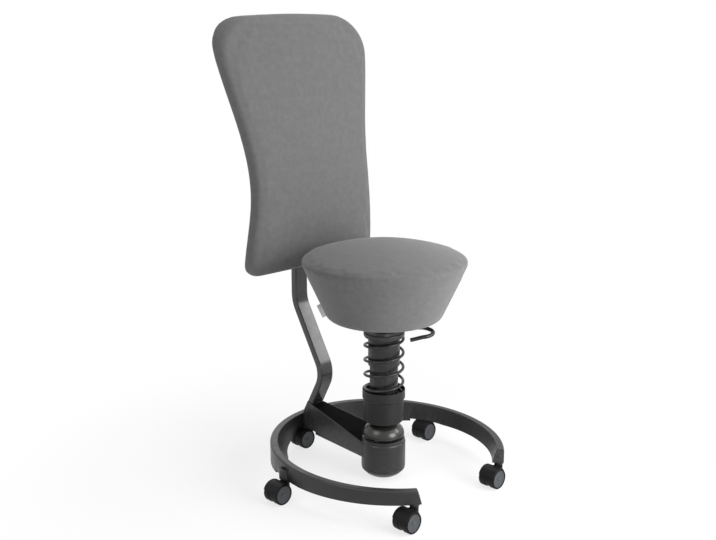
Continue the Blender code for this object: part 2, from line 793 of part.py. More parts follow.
def make_spring(finish):
    points = spring_points()
    gap = least_gap(points, SPRING_WIRE, SPRING_POINTS // 2)
    print("coil spring, least gap to itself: %.2f mm" % (gap * 1000))
    place("coil_spring", tube_mesh("coil_spring", points, SPRING_WIRE / 2, 1), finish)


# Seat

def crown_height(radius):
    share = radius / SEAT_SEAM_RADIUS
    return SEAT_CROWN - (SEAT_CROWN - SEAT_SEAM) * share * share


def seat_profile(inset):
    # From the crown out over the rim, down the drawn-in side and round to the underside
    points = []
    for i in range(SEAT_CROWN_POINTS + 1):
        radius = SEAT_SEAM_RADIUS * i / SEAT_CROWN_POINTS
        points.append((max(radius - inset * i / SEAT_CROWN_POINTS, 0.0), crown_height(radius) - inset))
    points.append((SEAT_RADIUS - inset, SEAT_RIM))
    lean = math.atan2(SEAT_RADIUS - SEAT_BOTTOM_RADIUS, SEAT_RIM - SEAT_BOTTOM)
    bend = math.pi / 2 - lean
    centre = Vector((SEAT_BOTTOM_RADIUS - SEAT_CORNER * math.tan(bend / 2), SEAT_BOTTOM + SEAT_CORNER))
    corner = SEAT_CORNER - inset
    steps = 3
    for i in range(steps + 1):
        angle = -lean - bend * i / steps
        points.append((centre.x + corner * math.cos(angle), centre.y + corner * math.sin(angle)))
    points.append((SEAT_POCKET_RADIUS, SEAT_BOTTOM + inset))
    return points


def screw(name, radius, head_radius, head, foot, under_head, finish):
    # A screw along the line from its point up to the underside of its head
    foot = Vector(foot)
    under_head = Vector(under_head)
    along = (under_head - foot).normalized()
    piece = cylinder(name, head_radius, under_head, under_head + along * head, finish, 10)
    shank = cylinder(name + "_shank", radius, foot, under_head + along * head / 2, finish, 8)
    join(piece, shank)


def make_seat(cover, foam, wood, steel):
    outer = seat_profile(0.0)
    inner = seat_profile(COVER)
    turned("seat_cover", outer + inner[::-1], cover, steps=SEAT_STEPS)
    board_top = SEAT_BOARD_BOTTOM + SEAT_BOARD
    pocket = board_top + TOUCH_GAP
    turned("seat_foam", seat_profile(FOAM_INSET) + [(SEAT_POCKET_RADIUS, pocket), (0.0, pocket)], foam,
           steps=SEAT_STEPS)
    board_radius = SEAT_POCKET_RADIUS - RUN_GAP
    board = turned("seat_board", [
        (0.0, board_top),
        (board_radius, board_top),
        (board_radius, SEAT_BOARD_BOTTOM),
        (0.0, SEAT_BOARD_BOTTOM),
    ], wood, steps=SEAT_STEPS)
    bore = GAS_RADIUS + TOUCH_GAP
    plate = turned("seat_plate", [
        (0.0, SEAT_PLATE_TOP),
        (SEAT_PLATE_RADIUS, SEAT_PLATE_TOP),
        (SEAT_PLATE_RADIUS, SEAT_PLATE_BOTTOM),
        (HUB_RADIUS, SEAT_PLATE_BOTTOM),
        (HUB_RADIUS, HUB_BOTTOM),
        (bore, HUB_BOTTOM),
        (bore, SEAT_PLATE_BOTTOM),
        (0.0, SEAT_PLATE_BOTTOM),
    ], steel)
    lie = Matrix.Rotation(LEVER_DIRECTION, 4, "Z")
    rod_low = LEVER_HEIGHT - LEVER_ROD / 2
    slot = box("lever_slot", (0.0, -HUB_SLOT / 2, rod_low - VALVE_TRAVEL - LEVER_LIFT_GAP),
               (HUB_RADIUS * 1.2, HUB_SLOT / 2, SEAT_PLATE_BOTTOM - TOUCH_GAP), steel, lie)
    cut(plate, slot)
    ear_low = LEVER_ROD / 2 + LEVER_EAR_GAP
    pin_reach = ear_low + LEVER_EAR
    for sign in (-1, 1):
        near = sign * ear_low
        far = sign * pin_reach
        ear = box("lever_ear", (LEVER_PIVOT - LEVER_ROD / 2, min(near, far), rod_low),
                  (LEVER_PIVOT + LEVER_ROD / 2, max(near, far), SEAT_PLATE_TOP - SEAT_PLATE / 2),
                  steel, lie)
        join(plate, ear)
    across = lie.to_3x3() @ Vector((0.0, 1.0, 0.0))
    pivot = lie.to_3x3() @ Vector((LEVER_PIVOT, 0.0, LEVER_HEIGHT))
    pin_bore = cylinder("ear_bore", LEVER_PIN_RADIUS + TOUCH_GAP, pivot - across * pin_reach * 1.5,
                        pivot + across * pin_reach * 1.5, steel, 10)
    cut(plate, pin_bore)
    cylinder("lever_pin", LEVER_PIN_RADIUS, pivot - across * pin_reach, pivot + across * pin_reach,
             steel, 10)
    for i in range(4):
        angle = LEVER_DIRECTION + math.pi / 4 + i * math.pi / 2
        spot = Vector((SCREW_CIRCLE * math.cos(angle), SCREW_CIRCLE * math.sin(angle), 0.0))
        tip = spot + UP * (SEAT_BOARD_BOTTOM + SEAT_SCREW_BITE)
        under_head = spot + UP * (SEAT_PLATE_BOTTOM - TOUCH_GAP)
        for piece in (board, plate):
            hole = cylinder("screw_hole", SCREW_RADIUS + TOUCH_GAP, under_head - UP * SCREW_HEAD,
                            tip + UP * TOUCH_GAP, steel, 8)
            cut(piece, hole)
        screw("seat_screw_%d" % (i + 1), SCREW_RADIUS, SCREW_HEAD_RADIUS, SCREW_HEAD, tip, under_head,
              steel)


def lever_points():
    # The rod's middle line: out over the valve, down below the seat and round in a hook
    outer = LEVER_HEIGHT - LEVER_DROP
    drop = LEVER_DROP_END - LEVER_DROP_START
    points = [Vector((LEVER_TIP, 0.0, LEVER_HEIGHT))]
    steps = 6
    for i in range(steps + 1):
        share = i / steps
        ease = (1 - math.cos(math.pi * share)) / 2
        points.append(Vector((LEVER_DROP_START + drop * share, 0.0, LEVER_HEIGHT - LEVER_DROP * ease)))
    hook = 10
    for i in range(hook + 1):
        angle = math.pi / 2 - math.pi * i / hook
        fall = LEVER_TAIL_DROP / 2 * i / hook
        points.append(Vector((LEVER_REACH + LEVER_HOOK_RADIUS * math.cos(angle),
                              LEVER_HOOK_RADIUS * (math.sin(angle) - 1), outer - fall)))
    points.append(Vector((LEVER_REACH - LEVER_TAIL, -2 * LEVER_HOOK_RADIUS, outer - LEVER_TAIL_DROP)))
    return points


def make_lever(finish):
    lie = Matrix.Rotation(LEVER_DIRECTION, 4, "Z")
    mesh = tube_mesh("height_lever", lever_points(), LEVER_ROD / 2, 2)
    mesh.transform(lie)
    lever = place("height_lever", mesh, finish)
    across = lie.to_3x3() @ Vector((0.0, LEVER_ROD, 0.0))
    pivot = lie.to_3x3() @ Vector((LEVER_PIVOT, 0.0, LEVER_HEIGHT))
    hole = cylinder("lever_hole", LEVER_PIN_RADIUS + TOUCH_GAP, pivot - across, pivot + across, finish, 10)
    cut(lever, hole)


# Arm and backrest bar

def arc_between(corner, before, after, radius, steps):
    # A round bend in place of a corner, tangent to the runs before and after it
    back = (Vector(before) - Vector(corner)).normalized()
    ahead = (Vector(after) - Vector(corner)).normalized()
    half = back.angle(ahead) / 2
    start = Vector(corner) + back * (radius / math.tan(half))
    centre = Vector(corner) + (back + ahead).normalized() * (radius / math.sin(half))
    swing = math.pi - 2 * half
    if back.x * ahead.y - back.y * ahead.x > 0.0:
        swing = -swing
    arm = start - centre
    return [centre + Matrix.Rotation(swing * i / steps, 2) @ arm for i in range(steps + 1)]


def bar_line():
    # The bar's middle line in the side plane, from its foot on the arm to its top
    knee = Vector((BAR_KNEE_Y, BAR_KNEE_Z))
    foot = knee + Vector((math.tan(BAR_FOOT_SLANT), -1.0)) * (BAR_KNEE_Z - BAR_FOOT_Z)
    rise = (BAR_UPRIGHT_Y - BAR_KNEE_Y) / math.tan(BAR_SLANT)
    bend = Vector((BAR_UPRIGHT_Y, BAR_KNEE_Z + rise))
    top = Vector((BAR_UPRIGHT_Y, BAR_TOP))
    line = [foot]
    line += arc_between(knee, foot, bend, BAR_KNEE_RADIUS, BAR_BEND_STEPS)
    line += arc_between(bend, knee, top, BAR_BEND_RADIUS, BAR_BEND_STEPS)
    line.append(top)
    return line


def offset_line(line, distance):
    shifted = []
    for i, point in enumerate(line):
        before = line[max(i - 1, 0)]
        after = line[min(i + 1, len(line) - 1)]
        along = (after - before).normalized()
        shifted.append(point + Vector((-along.y, along.x)) * distance)
    return shifted


def make_bar(finish):
    line = bar_line()
    outline = offset_line(line, BAR_THICKNESS / 2) + offset_line(line, -BAR_THICKNESS / 2)[::-1]
    bar = place("backrest_bar", outline_mesh("backrest_bar", outline, BAR_WIDTH, SIDE_PLANE), finish)
    round_edges(bar, BAR_EDGE, 1)
    return bar


def arm_top(y):
    # The arm's sloping top, from the column back to the foot of the bar
    heel = arm_heel()[0]
    share = y / heel.x
    return ARM_TOP_AT_COLUMN + share * (heel.y - ARM_TOP_AT_COLUMN)


def arm_heel():
    # The two ends of the flat on which the foot of the bar stands, front one first
    foot, ahead = bar_line()[:2]
    along = (ahead - foot).normalized()
    across = Vector((-along.y, along.x)) * (BAR_THICKNESS / 2)
    seat = foot - along * TOUCH_GAP
    return sorted((seat + across, seat - across), key=lambda spot: spot.x)


def ring_face(x):
    # How far back the ring's inner face lies behind the arm, on the ring's middle facets
    step = 2.0 * (math.pi - RING_OPENING_ANGLE) / RING_STEPS
    middle = ring_point(math.pi, RING_BAR + TOUCH_GAP)
    beside = ring_point(math.pi - step, RING_BAR + TOUCH_GAP)
    return middle.y + abs(x) / beside.x * (beside.y - middle.y)


def arm_plan(margin):
    wide = ARM_WIDTH_AT_COLUMN / 2 - margin
    narrow = BAR_WIDTH / 2 - margin
    heel_y = arm_heel()[0].x
    left = [(wide, 0.0), (narrow, heel_y), (narrow, ring_face(narrow))]
    right = [(-x, y) for x, y in reversed(left)]
    return left + [(0.0, ring_face(0.0))] + right


def make_arm(finish, plastic):
    front, back = arm_heel()
    ring_y = ring_point(math.pi, 0.0).y
    profile = [
        (0.0, ARM_BOTTOM_AT_COLUMN),
        (ring_y, ARM_BOTTOM_AT_RING),
        (ring_y, RING_TOP),
        tuple(back),
        tuple(front),
        (0.0, ARM_TOP_AT_COLUMN),
    ]
    height = BAR_FOOT_Z * 4
    arm = place("base_arm", outline_mesh("base_arm", profile, ARM_WIDTH_AT_COLUMN * 2, SIDE_PLANE), finish)
    combine(arm, place("arm_plan", outline_mesh("arm_plan", arm_plan(0.0), height), finish), "INTERSECT")
    bore = HOUSING_RADIUS + TOUCH_GAP
    cut(arm, cylinder("arm_bore", bore, (0, 0, -height), (0, 0, height), finish, TURN_STEPS * 2))
    socket = caster_places()["back"]
    socket_top = SOCKET_BOTTOM + SOCKET_HEIGHT + TOUCH_GAP
    cut(arm, cylinder("socket_room", SOCKET_RADIUS + TOUCH_GAP, (socket.x, socket.y, -height),
                      (socket.x, socket.y, socket_top), finish))
    # The cover lies in a recess of the arm's top and follows its slope
    margin = ARM_COVER_MARGIN
    cover_end = front.x - margin
    cover_start = HOUSING_RADIUS / 2
    band = [
        (cover_start, arm_top(cover_start) - ARM_COVER),
        (cover_end, arm_top(cover_end) - ARM_COVER),
        (cover_end, arm_top(cover_end)),
        (cover_start, arm_top(cover_start)),
    ]
    cover = outline_mesh("arm_cover", band, ARM_WIDTH_AT_COLUMN * 2, SIDE_PLANE)
    cover = place("arm_cover", cover, plastic)
    combine(cover, place("cover_plan", outline_mesh("cover_plan", arm_plan(margin), height), plastic),
            "INTERSECT")
    room = TOUCH_GAP
    cut(cover, cylinder("cover_bore", bore + room, (0, 0, -height), (0, 0, height), plastic,
                        TURN_STEPS * 2))
    recess_band = [
        (cover_start - room, arm_top(cover_start) - ARM_COVER - room),
        (cover_end + room, arm_top(cover_end) - ARM_COVER - room),
        (cover_end + room, arm_top(cover_end) + ARM_COVER),
        (cover_start - room, arm_top(cover_start) + ARM_COVER),
    ]
    recess = outline_mesh("arm_recess", recess_band, ARM_WIDTH_AT_COLUMN * 2, SIDE_PLANE)
    recess = place("arm_recess", recess, plastic)
    recess_plan = outline_mesh("recess_plan", arm_plan(margin - room), height)
    combine(recess, place("recess_plan", recess_plan, plastic), "INTERSECT")
    cut(arm, recess)


# Backrest

def back_front(z):
    # The front of the backrest at mid width: tucked in below the lumbar bulge, leaning back above it
    rise = z - LUMBAR_Z
    mean = (BACK_LEAN - BACK_TUCK) / 2
    bend = (BACK_LEAN + BACK_TUCK) / 2
    return LUMBAR_Y + mean * rise + bend * (math.hypot(rise, LUMBAR_SOFTNESS) - LUMBAR_SOFTNESS)


def ease(share):
    share = min(max(share, 0.0), 1.0)
    return (1 - math.cos(math.pi * share)) / 2


def back_side(z):
    # Half the width, before the corners are rounded
    if z > BACK_WAIST_Z:
        share = ease((z - BACK_WAIST_Z) / (BACK_SHOULDER_Z - BACK_WAIST_Z))
        grow = (BACK_TOP_WIDTH - BACK_WAIST_WIDTH) * share
    else:
        share = ease((BACK_WAIST_Z - z) / (BACK_WAIST_Z - BACK_BOTTOM))
        grow = (BACK_BOTTOM_WIDTH - BACK_WAIST_WIDTH) * share
    return (BACK_WAIST_WIDTH + grow) / 2


def back_half(z, inset, top_corner):
    # Half the width at one height, with both pairs of corners rounded
    wide, tall = top_corner[0] - inset, top_corner[1] - inset
    low_corner = max(BACK_BOTTOM_CORNER - inset, BACK_EDGE)
    over = min(max((z - (BACK_TOP - inset - tall)) / tall, 0.0), 1.0)
    under = min(max((BACK_BOTTOM + inset + low_corner - z) / low_corner, 0.0), 1.0)
    corner = wide * (1 - math.sqrt(1 - over * over)) + low_corner * (1 - math.sqrt(1 - under * under))
    return back_side(z) - inset - corner


def back_heights(inset):
    # Heights of the sections, closer together at the bottom and the top
    low = BACK_BOTTOM + inset
    high = BACK_TOP - inset
    low_corner = max(BACK_BOTTOM_CORNER - inset, BACK_EDGE)
    high_corner = BACK_FACE_CORNER[1] - inset
    heights = [low + low_corner * (1 - math.cos(math.radians(a))) for a in (0.0, 25.0, 50.0, 90.0)]
    span = high - high_corner - heights[-1]
    middle = 7
    heights += [low + low_corner + span * i / middle for i in range(1, middle)]
    tops = (0.0, 20.0, 38.0, 54.0, 68.0, 79.0, 90.0)
    return heights + [high - high_corner * (1 - math.sin(math.radians(a))) for a in tops]


def back_section(z, inset):
    # A closed loop of points round the cushion at one height, narrower at its face than at its rear
    low = BACK_BOTTOM + inset
    high = BACK_TOP - inset
    edge = BACK_EDGE - inset / 2
    depth = min(z - low, high - z, edge)
    roll = edge - math.sqrt(max(edge * edge - (edge - depth) ** 2, 0.0))
    thick = BACK_THICKNESS - 2 * inset - 2 * roll
    corner = min(edge, thick * 0.48)
    middle = back_front(z) + BACK_THICKNESS / 2
    half = back_half(z, inset, BACK_REAR_CORNER)
    narrow = 1 - back_half(z, inset, BACK_FACE_CORNER) / half
    points = []
    for turn, sign_x, sign_y in ((0.0, 1, 1), (0.5, -1, 1), (1.0, -1, -1), (1.5, 1, -1)):
        centre = (sign_x * (half - corner), sign_y * (thick / 2 - corner))
        for i in range(3):
            angle = math.pi * (turn + i / 4)
            points.append([centre[0] + corner * math.cos(angle), centre[1] + corner * math.sin(angle)])
        if turn in (0.0, 1.0):
            for share in (0.5, 0.0, -0.5):
                points.append([sign_x * share * (half - corner), sign_y * thick / 2])
    upper = ease((z - BACK_WAIST_Z) / (BACK_TOP - BACK_WAIST_Z))
    loop = []
    for x, y in points:
        x *= 1 - narrow * (0.5 - y / thick)
        if y < 0.0:
            y += BACK_CROWN * (x / half) ** 2 * min(1.0, -2 * y / thick)
        loop.append((x, middle + y, z - BACK_ARCH * upper * (2 * x / BACK_TOP_WIDTH) ** 2))
    return loop


def back_cushion(name, inset, finish):
    # A loft through the sections, closed at the bottom and the top
    edit = bmesh.new()
    loops = []
    for z in back_heights(inset):
        loops.append([edit.verts.new(point) for point in back_section(z, inset)])
    for lower, upper in zip(loops, loops[1:]):
        count = len(lower)
        for i in range(count):
            after = (i + 1) % count
            edit.faces.new((lower[i], lower[after], upper[after], upper[i]))
    edit.faces.new(loops[0][::-1])
    top = loops[-1]
    for i in range(len(top) // 2 - 1):
        edit.faces.new((top[i], top[i + 1], top[-2 - i], top[-1 - i]))
    mesh = bpy.data.meshes.new(name)
    edit.to_mesh(mesh)
    edit.free()
    smooth(mesh, math.radians(60.0))
    return place(name, mesh, finish)


def board_solid(name, grow, front_gap, back_reach, finish):
    # The backrest's board, or with clearances the space that it needs
    inset = BACK_BOARD_INSET - grow
    rows = [(z, back_half(z, inset, BACK_REAR_CORNER)) for z in back_heights(inset)]
    outline = [(half, z) for z, half in rows] + [(-half, z) for z, half in reversed(rows)]
    depth = BACK_THICKNESS * 20
    low = rows[0][0] - BACK_BOARD
    span = rows[-1][0] + BACK_BOARD - low
    heights = [low + span * i / BOARD_STEPS for i in range(BOARD_STEPS + 1)]
    front = [(back_front(z) + BACK_THICKNESS - BACK_BOARD - front_gap, z) for z in heights]
    back = [(back_front(z) + BACK_THICKNESS + back_reach, z) for z in heights]
    solid = place(name, outline_mesh(name, front + back[::-1], BACK_TOP_WIDTH * 2, SIDE_PLANE), finish)
    plan = place(name + "_plan", outline_mesh(name + "_plan", outline, depth, FRONT_PLANE), finish)
    combine(solid, plan, "INTERSECT")
    return solid


def make_back(cover, foam, wood):
    skin = back_cushion("backrest_cover", 0.0, cover)
    cut(skin, back_cushion("cover_hollow", COVER, cover))
    cut(skin, board_solid("cover_opening", TOUCH_GAP, 0.0, BACK_BOARD * 2, cover))
    pad = back_cushion("backrest_foam", FOAM_INSET, foam)
    cut(pad, board_solid("board_pocket", TOUCH_GAP, TOUCH_GAP, BACK_BOARD * 2, foam))
    return board_solid("backrest_board", 0.0, 0.0, 0.0, wood)


def make_bracket(bar, board, finish, steel):
    # A block between the bar's upright and the board's curved back, with a flange on either side
    steps = 8
    heights = [BRACKET_BOTTOM + (BRACKET_TOP - BRACKET_BOTTOM) * i / steps for i in range(steps + 1)]
    front = [(back_front(z) + BACK_THICKNESS + 2 * TOUCH_GAP, z) for z in heights]
    flat = BAR_UPRIGHT_Y - BAR_THICKNESS / 2 - TOUCH_GAP
    outline = front + [(flat, BRACKET_TOP), (flat, BRACKET_BOTTOM)]
    bracket = outline_mesh("backrest_bracket", outline, BRACKET_WIDTH, SIDE_PLANE)
    bracket = place("backrest_bracket", bracket, finish)
    for sign in (-1, 1):
        inner = sign * (BAR_WIDTH / 2)
        outer = sign * BRACKET_WIDTH
        window = box("flange_relief",
                     (min(inner, outer), front[0][0] - BACK_BOARD, BRACKET_BOTTOM - BACK_BOARD),
                     (max(inner, outer), flat + BACK_BOARD, BRACKET_TOP + BACK_BOARD), finish)
        keep = [(y - BACK_BOARD, z) for y, z in front]
        keep += [(y + BRACKET_FLANGE, z) for y, z in reversed(front)]
        plate = outline_mesh("flange_band", keep, BRACKET_WIDTH * 4, SIDE_PLANE)
        plate = place("flange_band", plate, finish)
        cut(window, plate)
        cut(bracket, window)
    low = BRACKET_BOTTOM + BRACKET_SCREW_MARGIN
    high = BRACKET_TOP - BRACKET_SCREW_MARGIN
    number = 1
    for z in (low, high):
        for x in (-BRACKET_SCREW_X, BRACKET_SCREW_X):
            level = back_front(z) + BACK_THICKNESS
            lean = (back_front(z + TOUCH_GAP) - back_front(z - TOUCH_GAP)) / (2 * TOUCH_GAP)
            back = Vector((0.0, 1.0, -lean)).normalized()
            spot = Vector((x, level, z))
            tip = spot - back * BACK_SCREW_BITE
            under_head = spot + back * (BRACKET_FLANGE + 3 * TOUCH_GAP)
            for piece in (board, bracket):
                hole = cylinder("screw_hole", SCREW_RADIUS + TOUCH_GAP, tip - back * TOUCH_GAP,
                                under_head + back * SCREW_HEAD, finish, 8)
                cut(piece, hole)
            screw("backrest_screw_%d" % number, SCREW_RADIUS, SCREW_HEAD_RADIUS, SCREW_HEAD, tip,
                  under_head, steel)
            number += 1
    bar_back = BAR_UPRIGHT_Y + BAR_THICKNESS / 2
    for i, z in enumerate((BRACKET_BOTTOM + BOLT_MARGIN, BRACKET_TOP - BOLT_MARGIN)):
        tip = Vector((0.0, back_front(z) + BACK_THICKNESS + BRACKET_FLANGE, z))
        under_head = Vector((0.0, bar_back + TOUCH_GAP, z))
        beyond = Vector((0.0, BOLT_HEAD, 0.0))
        for piece in (bar, bracket):
            hole = cylinder("bolt_hole", BOLT_RADIUS + TOUCH_GAP, tip - Vector((0, TOUCH_GAP, 0)),
                            under_head + beyond, finish, 10)
            cut(piece, hole)
        screw("bar_bolt_%d" % (i + 1), BOLT_RADIUS, BOLT_HEAD_RADIUS, BOLT_HEAD, tip, under_head, steel)


def settle_frame():
    # Moves the whole stool so that its wheels stand on the floor and its box is centred over the origin
    bpy.context.view_layer.update()
    graph = bpy.context.evaluated_depsgraph_get()
    low = Vector((math.inf, math.inf, math.inf))
    high = -low
    for piece in parts.objects:
        if piece.type != "MESH":
            continue
        done = piece.evaluated_get(graph)
        for vertex in done.data.vertices:
            spot = done.matrix_world @ vertex.co
            low = Vector(map(min, low, spot))
            high = Vector(map(max, high, spot))
    middle = (low + high) / 2
    root.location = (-middle.x, -middle.y, -low.z)
    print("shift x %.6f, y %.6f, z %.6f" % tuple(root.location))
    print("box %.4f x %.4f x %.4f" % tuple(high - low))


def main():
    clear_scene()
    make_collections()
    charcoal = material("charcoal_powder_coat", (0.040, 0.040, 0.043), 0.50, 0.3)
    plastic = material("black_plastic", (0.018, 0.018, 0.020), 0.45)
    steel = material("zinc_steel", (0.45, 0.45, 0.47), 0.35, 1.0)
    dark_steel = material("dark_spring_steel", (0.045, 0.045, 0.050), 0.35, 0.8)
    rubber = material("black_rubber", (0.015, 0.015, 0.015), 0.80)
    tread = material("caster_tread", (0.030, 0.031, 0.034), 0.55)
    cloth = material("grey_microfibre", (0.175, 0.175, 0.178), 0.90)
    foam = material("seat_foam", (0.60, 0.55, 0.40), 0.95)
    wood = material("plywood", (0.45, 0.30, 0.16), 0.70)
    make_ring(charcoal)
    make_casters(plastic, tread, steel)
    make_housing(charcoal, rubber, steel)
    make_column(charcoal, plastic)
    make_collar(plastic)
    make_slider(charcoal, dark_steel)
    make_spring(dark_steel)
    make_seat(cloth, foam, wood, steel)
    make_lever(dark_steel)
    make_arm(charcoal, plastic)
    bar = make_bar(charcoal)
    board = make_back(cloth, foam, wood)
    make_bracket(bar, board, charcoal, steel)
    settle_frame()


main()
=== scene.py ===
# Spring balance stool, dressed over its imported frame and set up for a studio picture
import bpy
import math
from mathutils import Matrix, Vector


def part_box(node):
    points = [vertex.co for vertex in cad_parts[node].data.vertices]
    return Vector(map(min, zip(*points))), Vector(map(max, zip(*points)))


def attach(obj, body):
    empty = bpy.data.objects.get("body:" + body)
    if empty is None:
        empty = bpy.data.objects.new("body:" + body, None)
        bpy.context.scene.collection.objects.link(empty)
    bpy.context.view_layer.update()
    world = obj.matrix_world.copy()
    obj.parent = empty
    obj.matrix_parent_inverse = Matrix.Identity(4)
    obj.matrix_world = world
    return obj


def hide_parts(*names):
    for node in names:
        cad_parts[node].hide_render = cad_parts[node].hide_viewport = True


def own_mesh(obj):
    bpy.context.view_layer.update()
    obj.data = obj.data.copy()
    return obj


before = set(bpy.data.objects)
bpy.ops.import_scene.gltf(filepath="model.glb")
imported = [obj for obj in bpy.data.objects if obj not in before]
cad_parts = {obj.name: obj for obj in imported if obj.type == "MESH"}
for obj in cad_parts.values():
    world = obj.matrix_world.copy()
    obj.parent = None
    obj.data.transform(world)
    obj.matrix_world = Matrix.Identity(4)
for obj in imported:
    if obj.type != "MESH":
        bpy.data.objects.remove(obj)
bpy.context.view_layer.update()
postLow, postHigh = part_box("column_post")
# pieces are drawn about the column with the floor of the drawing 4 mm below the wheels, then moved onto the frame
onFrame = Vector(((postLow.x + postHigh.x) / 2, (postLow.y + postHigh.y) / 2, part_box("spring_plate")[1].z - 0.378))
print("frame loaded, drawing moves by", [round(v, 5) for v in onFrame])


# camera, floor and light
cameraView = {
    "place": (-1.764623, -1.683490, 1.13418),
    "looking": (0.6959, 0.6754, -0.2439),
    "lens": 52.76,
    "sensor": 36.0,
}
studio = {
    "floorColour": (0.95, 0.95, 0.955, 1.0),
    "floorShare": (0.74, 1.0),    # the floor's own white near the stool and far off, the rest takes the shadow
    "floorReach": (0.35, 1.0),    # metres from the stool where that change starts and ends
    "ambient": 0.21,
    "aim": (0.0, 0.0, 0.5),       # the middle of the stool, where the lamps point
    "lamps": {                    # place, size, power
        "keyLamp": ((0.20, -1.40, 0.72), 0.9, 19.0),
        "sideLamp": ((2.10, -1.65, 1.75), 1.3, 25.0),
        "fillLamp": ((-2.0, 0.30, 2.1), 1.5, 18.0),
        "topLamp": ((0.70, -0.50, 2.9), 2.4, 36.0),
        "rearLamp": ((1.2, 2.4, 2.0), 1.6, 10.0),
    },
}


def aimed(name, data, place, looking):
    # the camera or a lamp, at its place
    holder = newObject(name, data)
    holder.location = place
    holder.rotation_euler = looking.to_track_quat("-Z", "Y").to_euler()
    return holder


def makeStudio():
    scene = bpy.context.scene
    scene.view_settings.view_transform = "Standard"
    camera = bpy.data.cameras.new("photoCamera")
    camera.lens = cameraView["lens"]
    camera.sensor_width = cameraView["sensor"]
    scene.camera = aimed("photoCamera", camera, cameraView["place"], Vector(cameraView["looking"]))
    for name, (place, size, power) in studio["lamps"].items():
        lamp = bpy.data.lights.new(name, "AREA")
        lamp.shape = "DISK"
        lamp.size = size
        lamp.energy = power
        aimed(name, lamp, place, Vector(studio["aim"]) - Vector(place))
    makeWorld(scene)
    makeFloor()


def seenRays(tree):
    # one where the camera, a reflection or a glass looks, none for plain light
    path = tree.nodes.new("ShaderNodeLightPath")
    seen = path.outputs["Is Camera Ray"]
    for label in ("Is Glossy Ray", "Is Transmission Ray"):
        seen = mathOf(tree, "MAXIMUM", seen, path.outputs[label])
    return seen


def mixOut(tree, factor, shaders, kind):
    # two shaders, mixed by the factor and led to the tree's output
    mix = tree.nodes.new("ShaderNodeMixShader")
    tree.links.new(factor, mix.inputs["Fac"])
    for shader, entry in zip(shaders, (1, 2)):
        tree.links.new(shader.outputs[0], mix.inputs[entry])
    out = tree.nodes.new("ShaderNodeOutput" + kind)
    tree.links.new(mix.outputs[0], out.inputs["Surface"])


def makeWorld(scene):
    scene.world = bpy.data.worlds.new("paleStudio")
    scene.world.use_nodes = True
    tree = scene.world.node_tree
    tree.nodes.clear()
    skies = []
    for strength in (studio["ambient"], 1.0):
        sky = tree.nodes.new("ShaderNodeBackground")
        sky.inputs["Color"].default_value = grey(1.0)
        sky.inputs["Strength"].default_value = strength
        skies.append(sky)
    mixOut(tree, seenRays(tree), skies, "World")


def makeFloor():
    clearSelection()
    bpy.ops.mesh.primitive_plane_add(size=30.0, location=(0.0, 0.0, 0.0))
    floor = bpy.context.object
    floor.name = "studioFloor"
    paint = bpy.data.materials.new("paleFloor")
    paint.use_nodes = True
    tree = paint.node_tree
    tree.nodes.clear()
    matt = tree.nodes.new("ShaderNodeBsdfDiffuse")
    matt.inputs["Color"].default_value = studio["floorColour"]
    glow = tree.nodes.new("ShaderNodeEmission")
    glow.inputs["Color"].default_value = grey(1.0)
    glow.inputs["Strength"].default_value = 1.0
    where = tree.nodes.new("ShaderNodeTexCoord")
    away = tree.nodes.new("ShaderNodeVectorMath")
    away.operation = "LENGTH"
    tree.links.new(where.outputs["Object"], away.inputs[0])
    white = rangeOf(tree, away.outputs["Value"], *studio["floorShare"], *studio["floorReach"])
    white.node.interpolation_type = "SMOOTHSTEP"
    mixOut(tree, mathOf(tree, "MULTIPLY", seenRays(tree), white), (matt, glow), "Material")
    floor.data.materials.append(paint)


# modelling helpers
def newObject(name, data):
    made = bpy.data.objects.new(name, data)
    bpy.context.scene.collection.objects.link(made)
    return made


def clearSelection():
    if bpy.context.object and bpy.context.object.mode != "OBJECT":
        bpy.ops.object.mode_set(mode="OBJECT")
    bpy.ops.object.select_all(action="DESELECT")


def pickOnly(piece):
    clearSelection()
    piece.select_set(True)
    bpy.context.view_layer.objects.active = piece


def editAll(piece):
    pickOnly(piece)
    bpy.ops.object.mode_set(mode="EDIT")
    bpy.ops.mesh.select_mode(type="VERT")
    bpy.ops.mesh.select_all(action="SELECT")


def leaveEdit():
    bpy.ops.object.mode_set(mode="OBJECT")


def sewUp(piece, reach=0.00001):
    # doubles merged, then every face turned outwards
    editAll(piece)
    bpy.ops.mesh.remove_doubles(threshold=reach)
    bpy.ops.mesh.normals_make_consistent(inside=False)
    leaveEdit()


def applyModifier(piece, kind, **settings):
    pickOnly(piece)
    modifier = piece.modifiers.new(kind.title(), kind)
    for key, value in settings.items():
        setattr(modifier, key, value)
    bpy.ops.object.modifier_apply(modifier=modifier.name)


def cutAway(piece, cutter):
    applyModifier(piece, "BOOLEAN", object=cutter, operation="DIFFERENCE", solver="EXACT")
    bpy.data.objects.remove(cutter, do_unlink=True)


def roundEdges(piece, width, segments=3, angle=28.0):
    applyModifier(piece, "BEVEL", width=width, segments=segments, limit_method="ANGLE",
                  angle_limit=math.radians(angle))


def smoothOver(piece, angle=40.0):
    # large faces keep their own shading beside rounded edges
    pickOnly(piece)
    bpy.ops.object.shade_smooth_by_angle(angle=math.radians(angle))
    applyModifier(piece, "WEIGHTED_NORMAL", keep_sharp=True)


def rounded(piece, edge, segments):
    if edge > 0.0:
        roundEdges(piece, edge, segments)
    smoothOver(piece)
    return piece


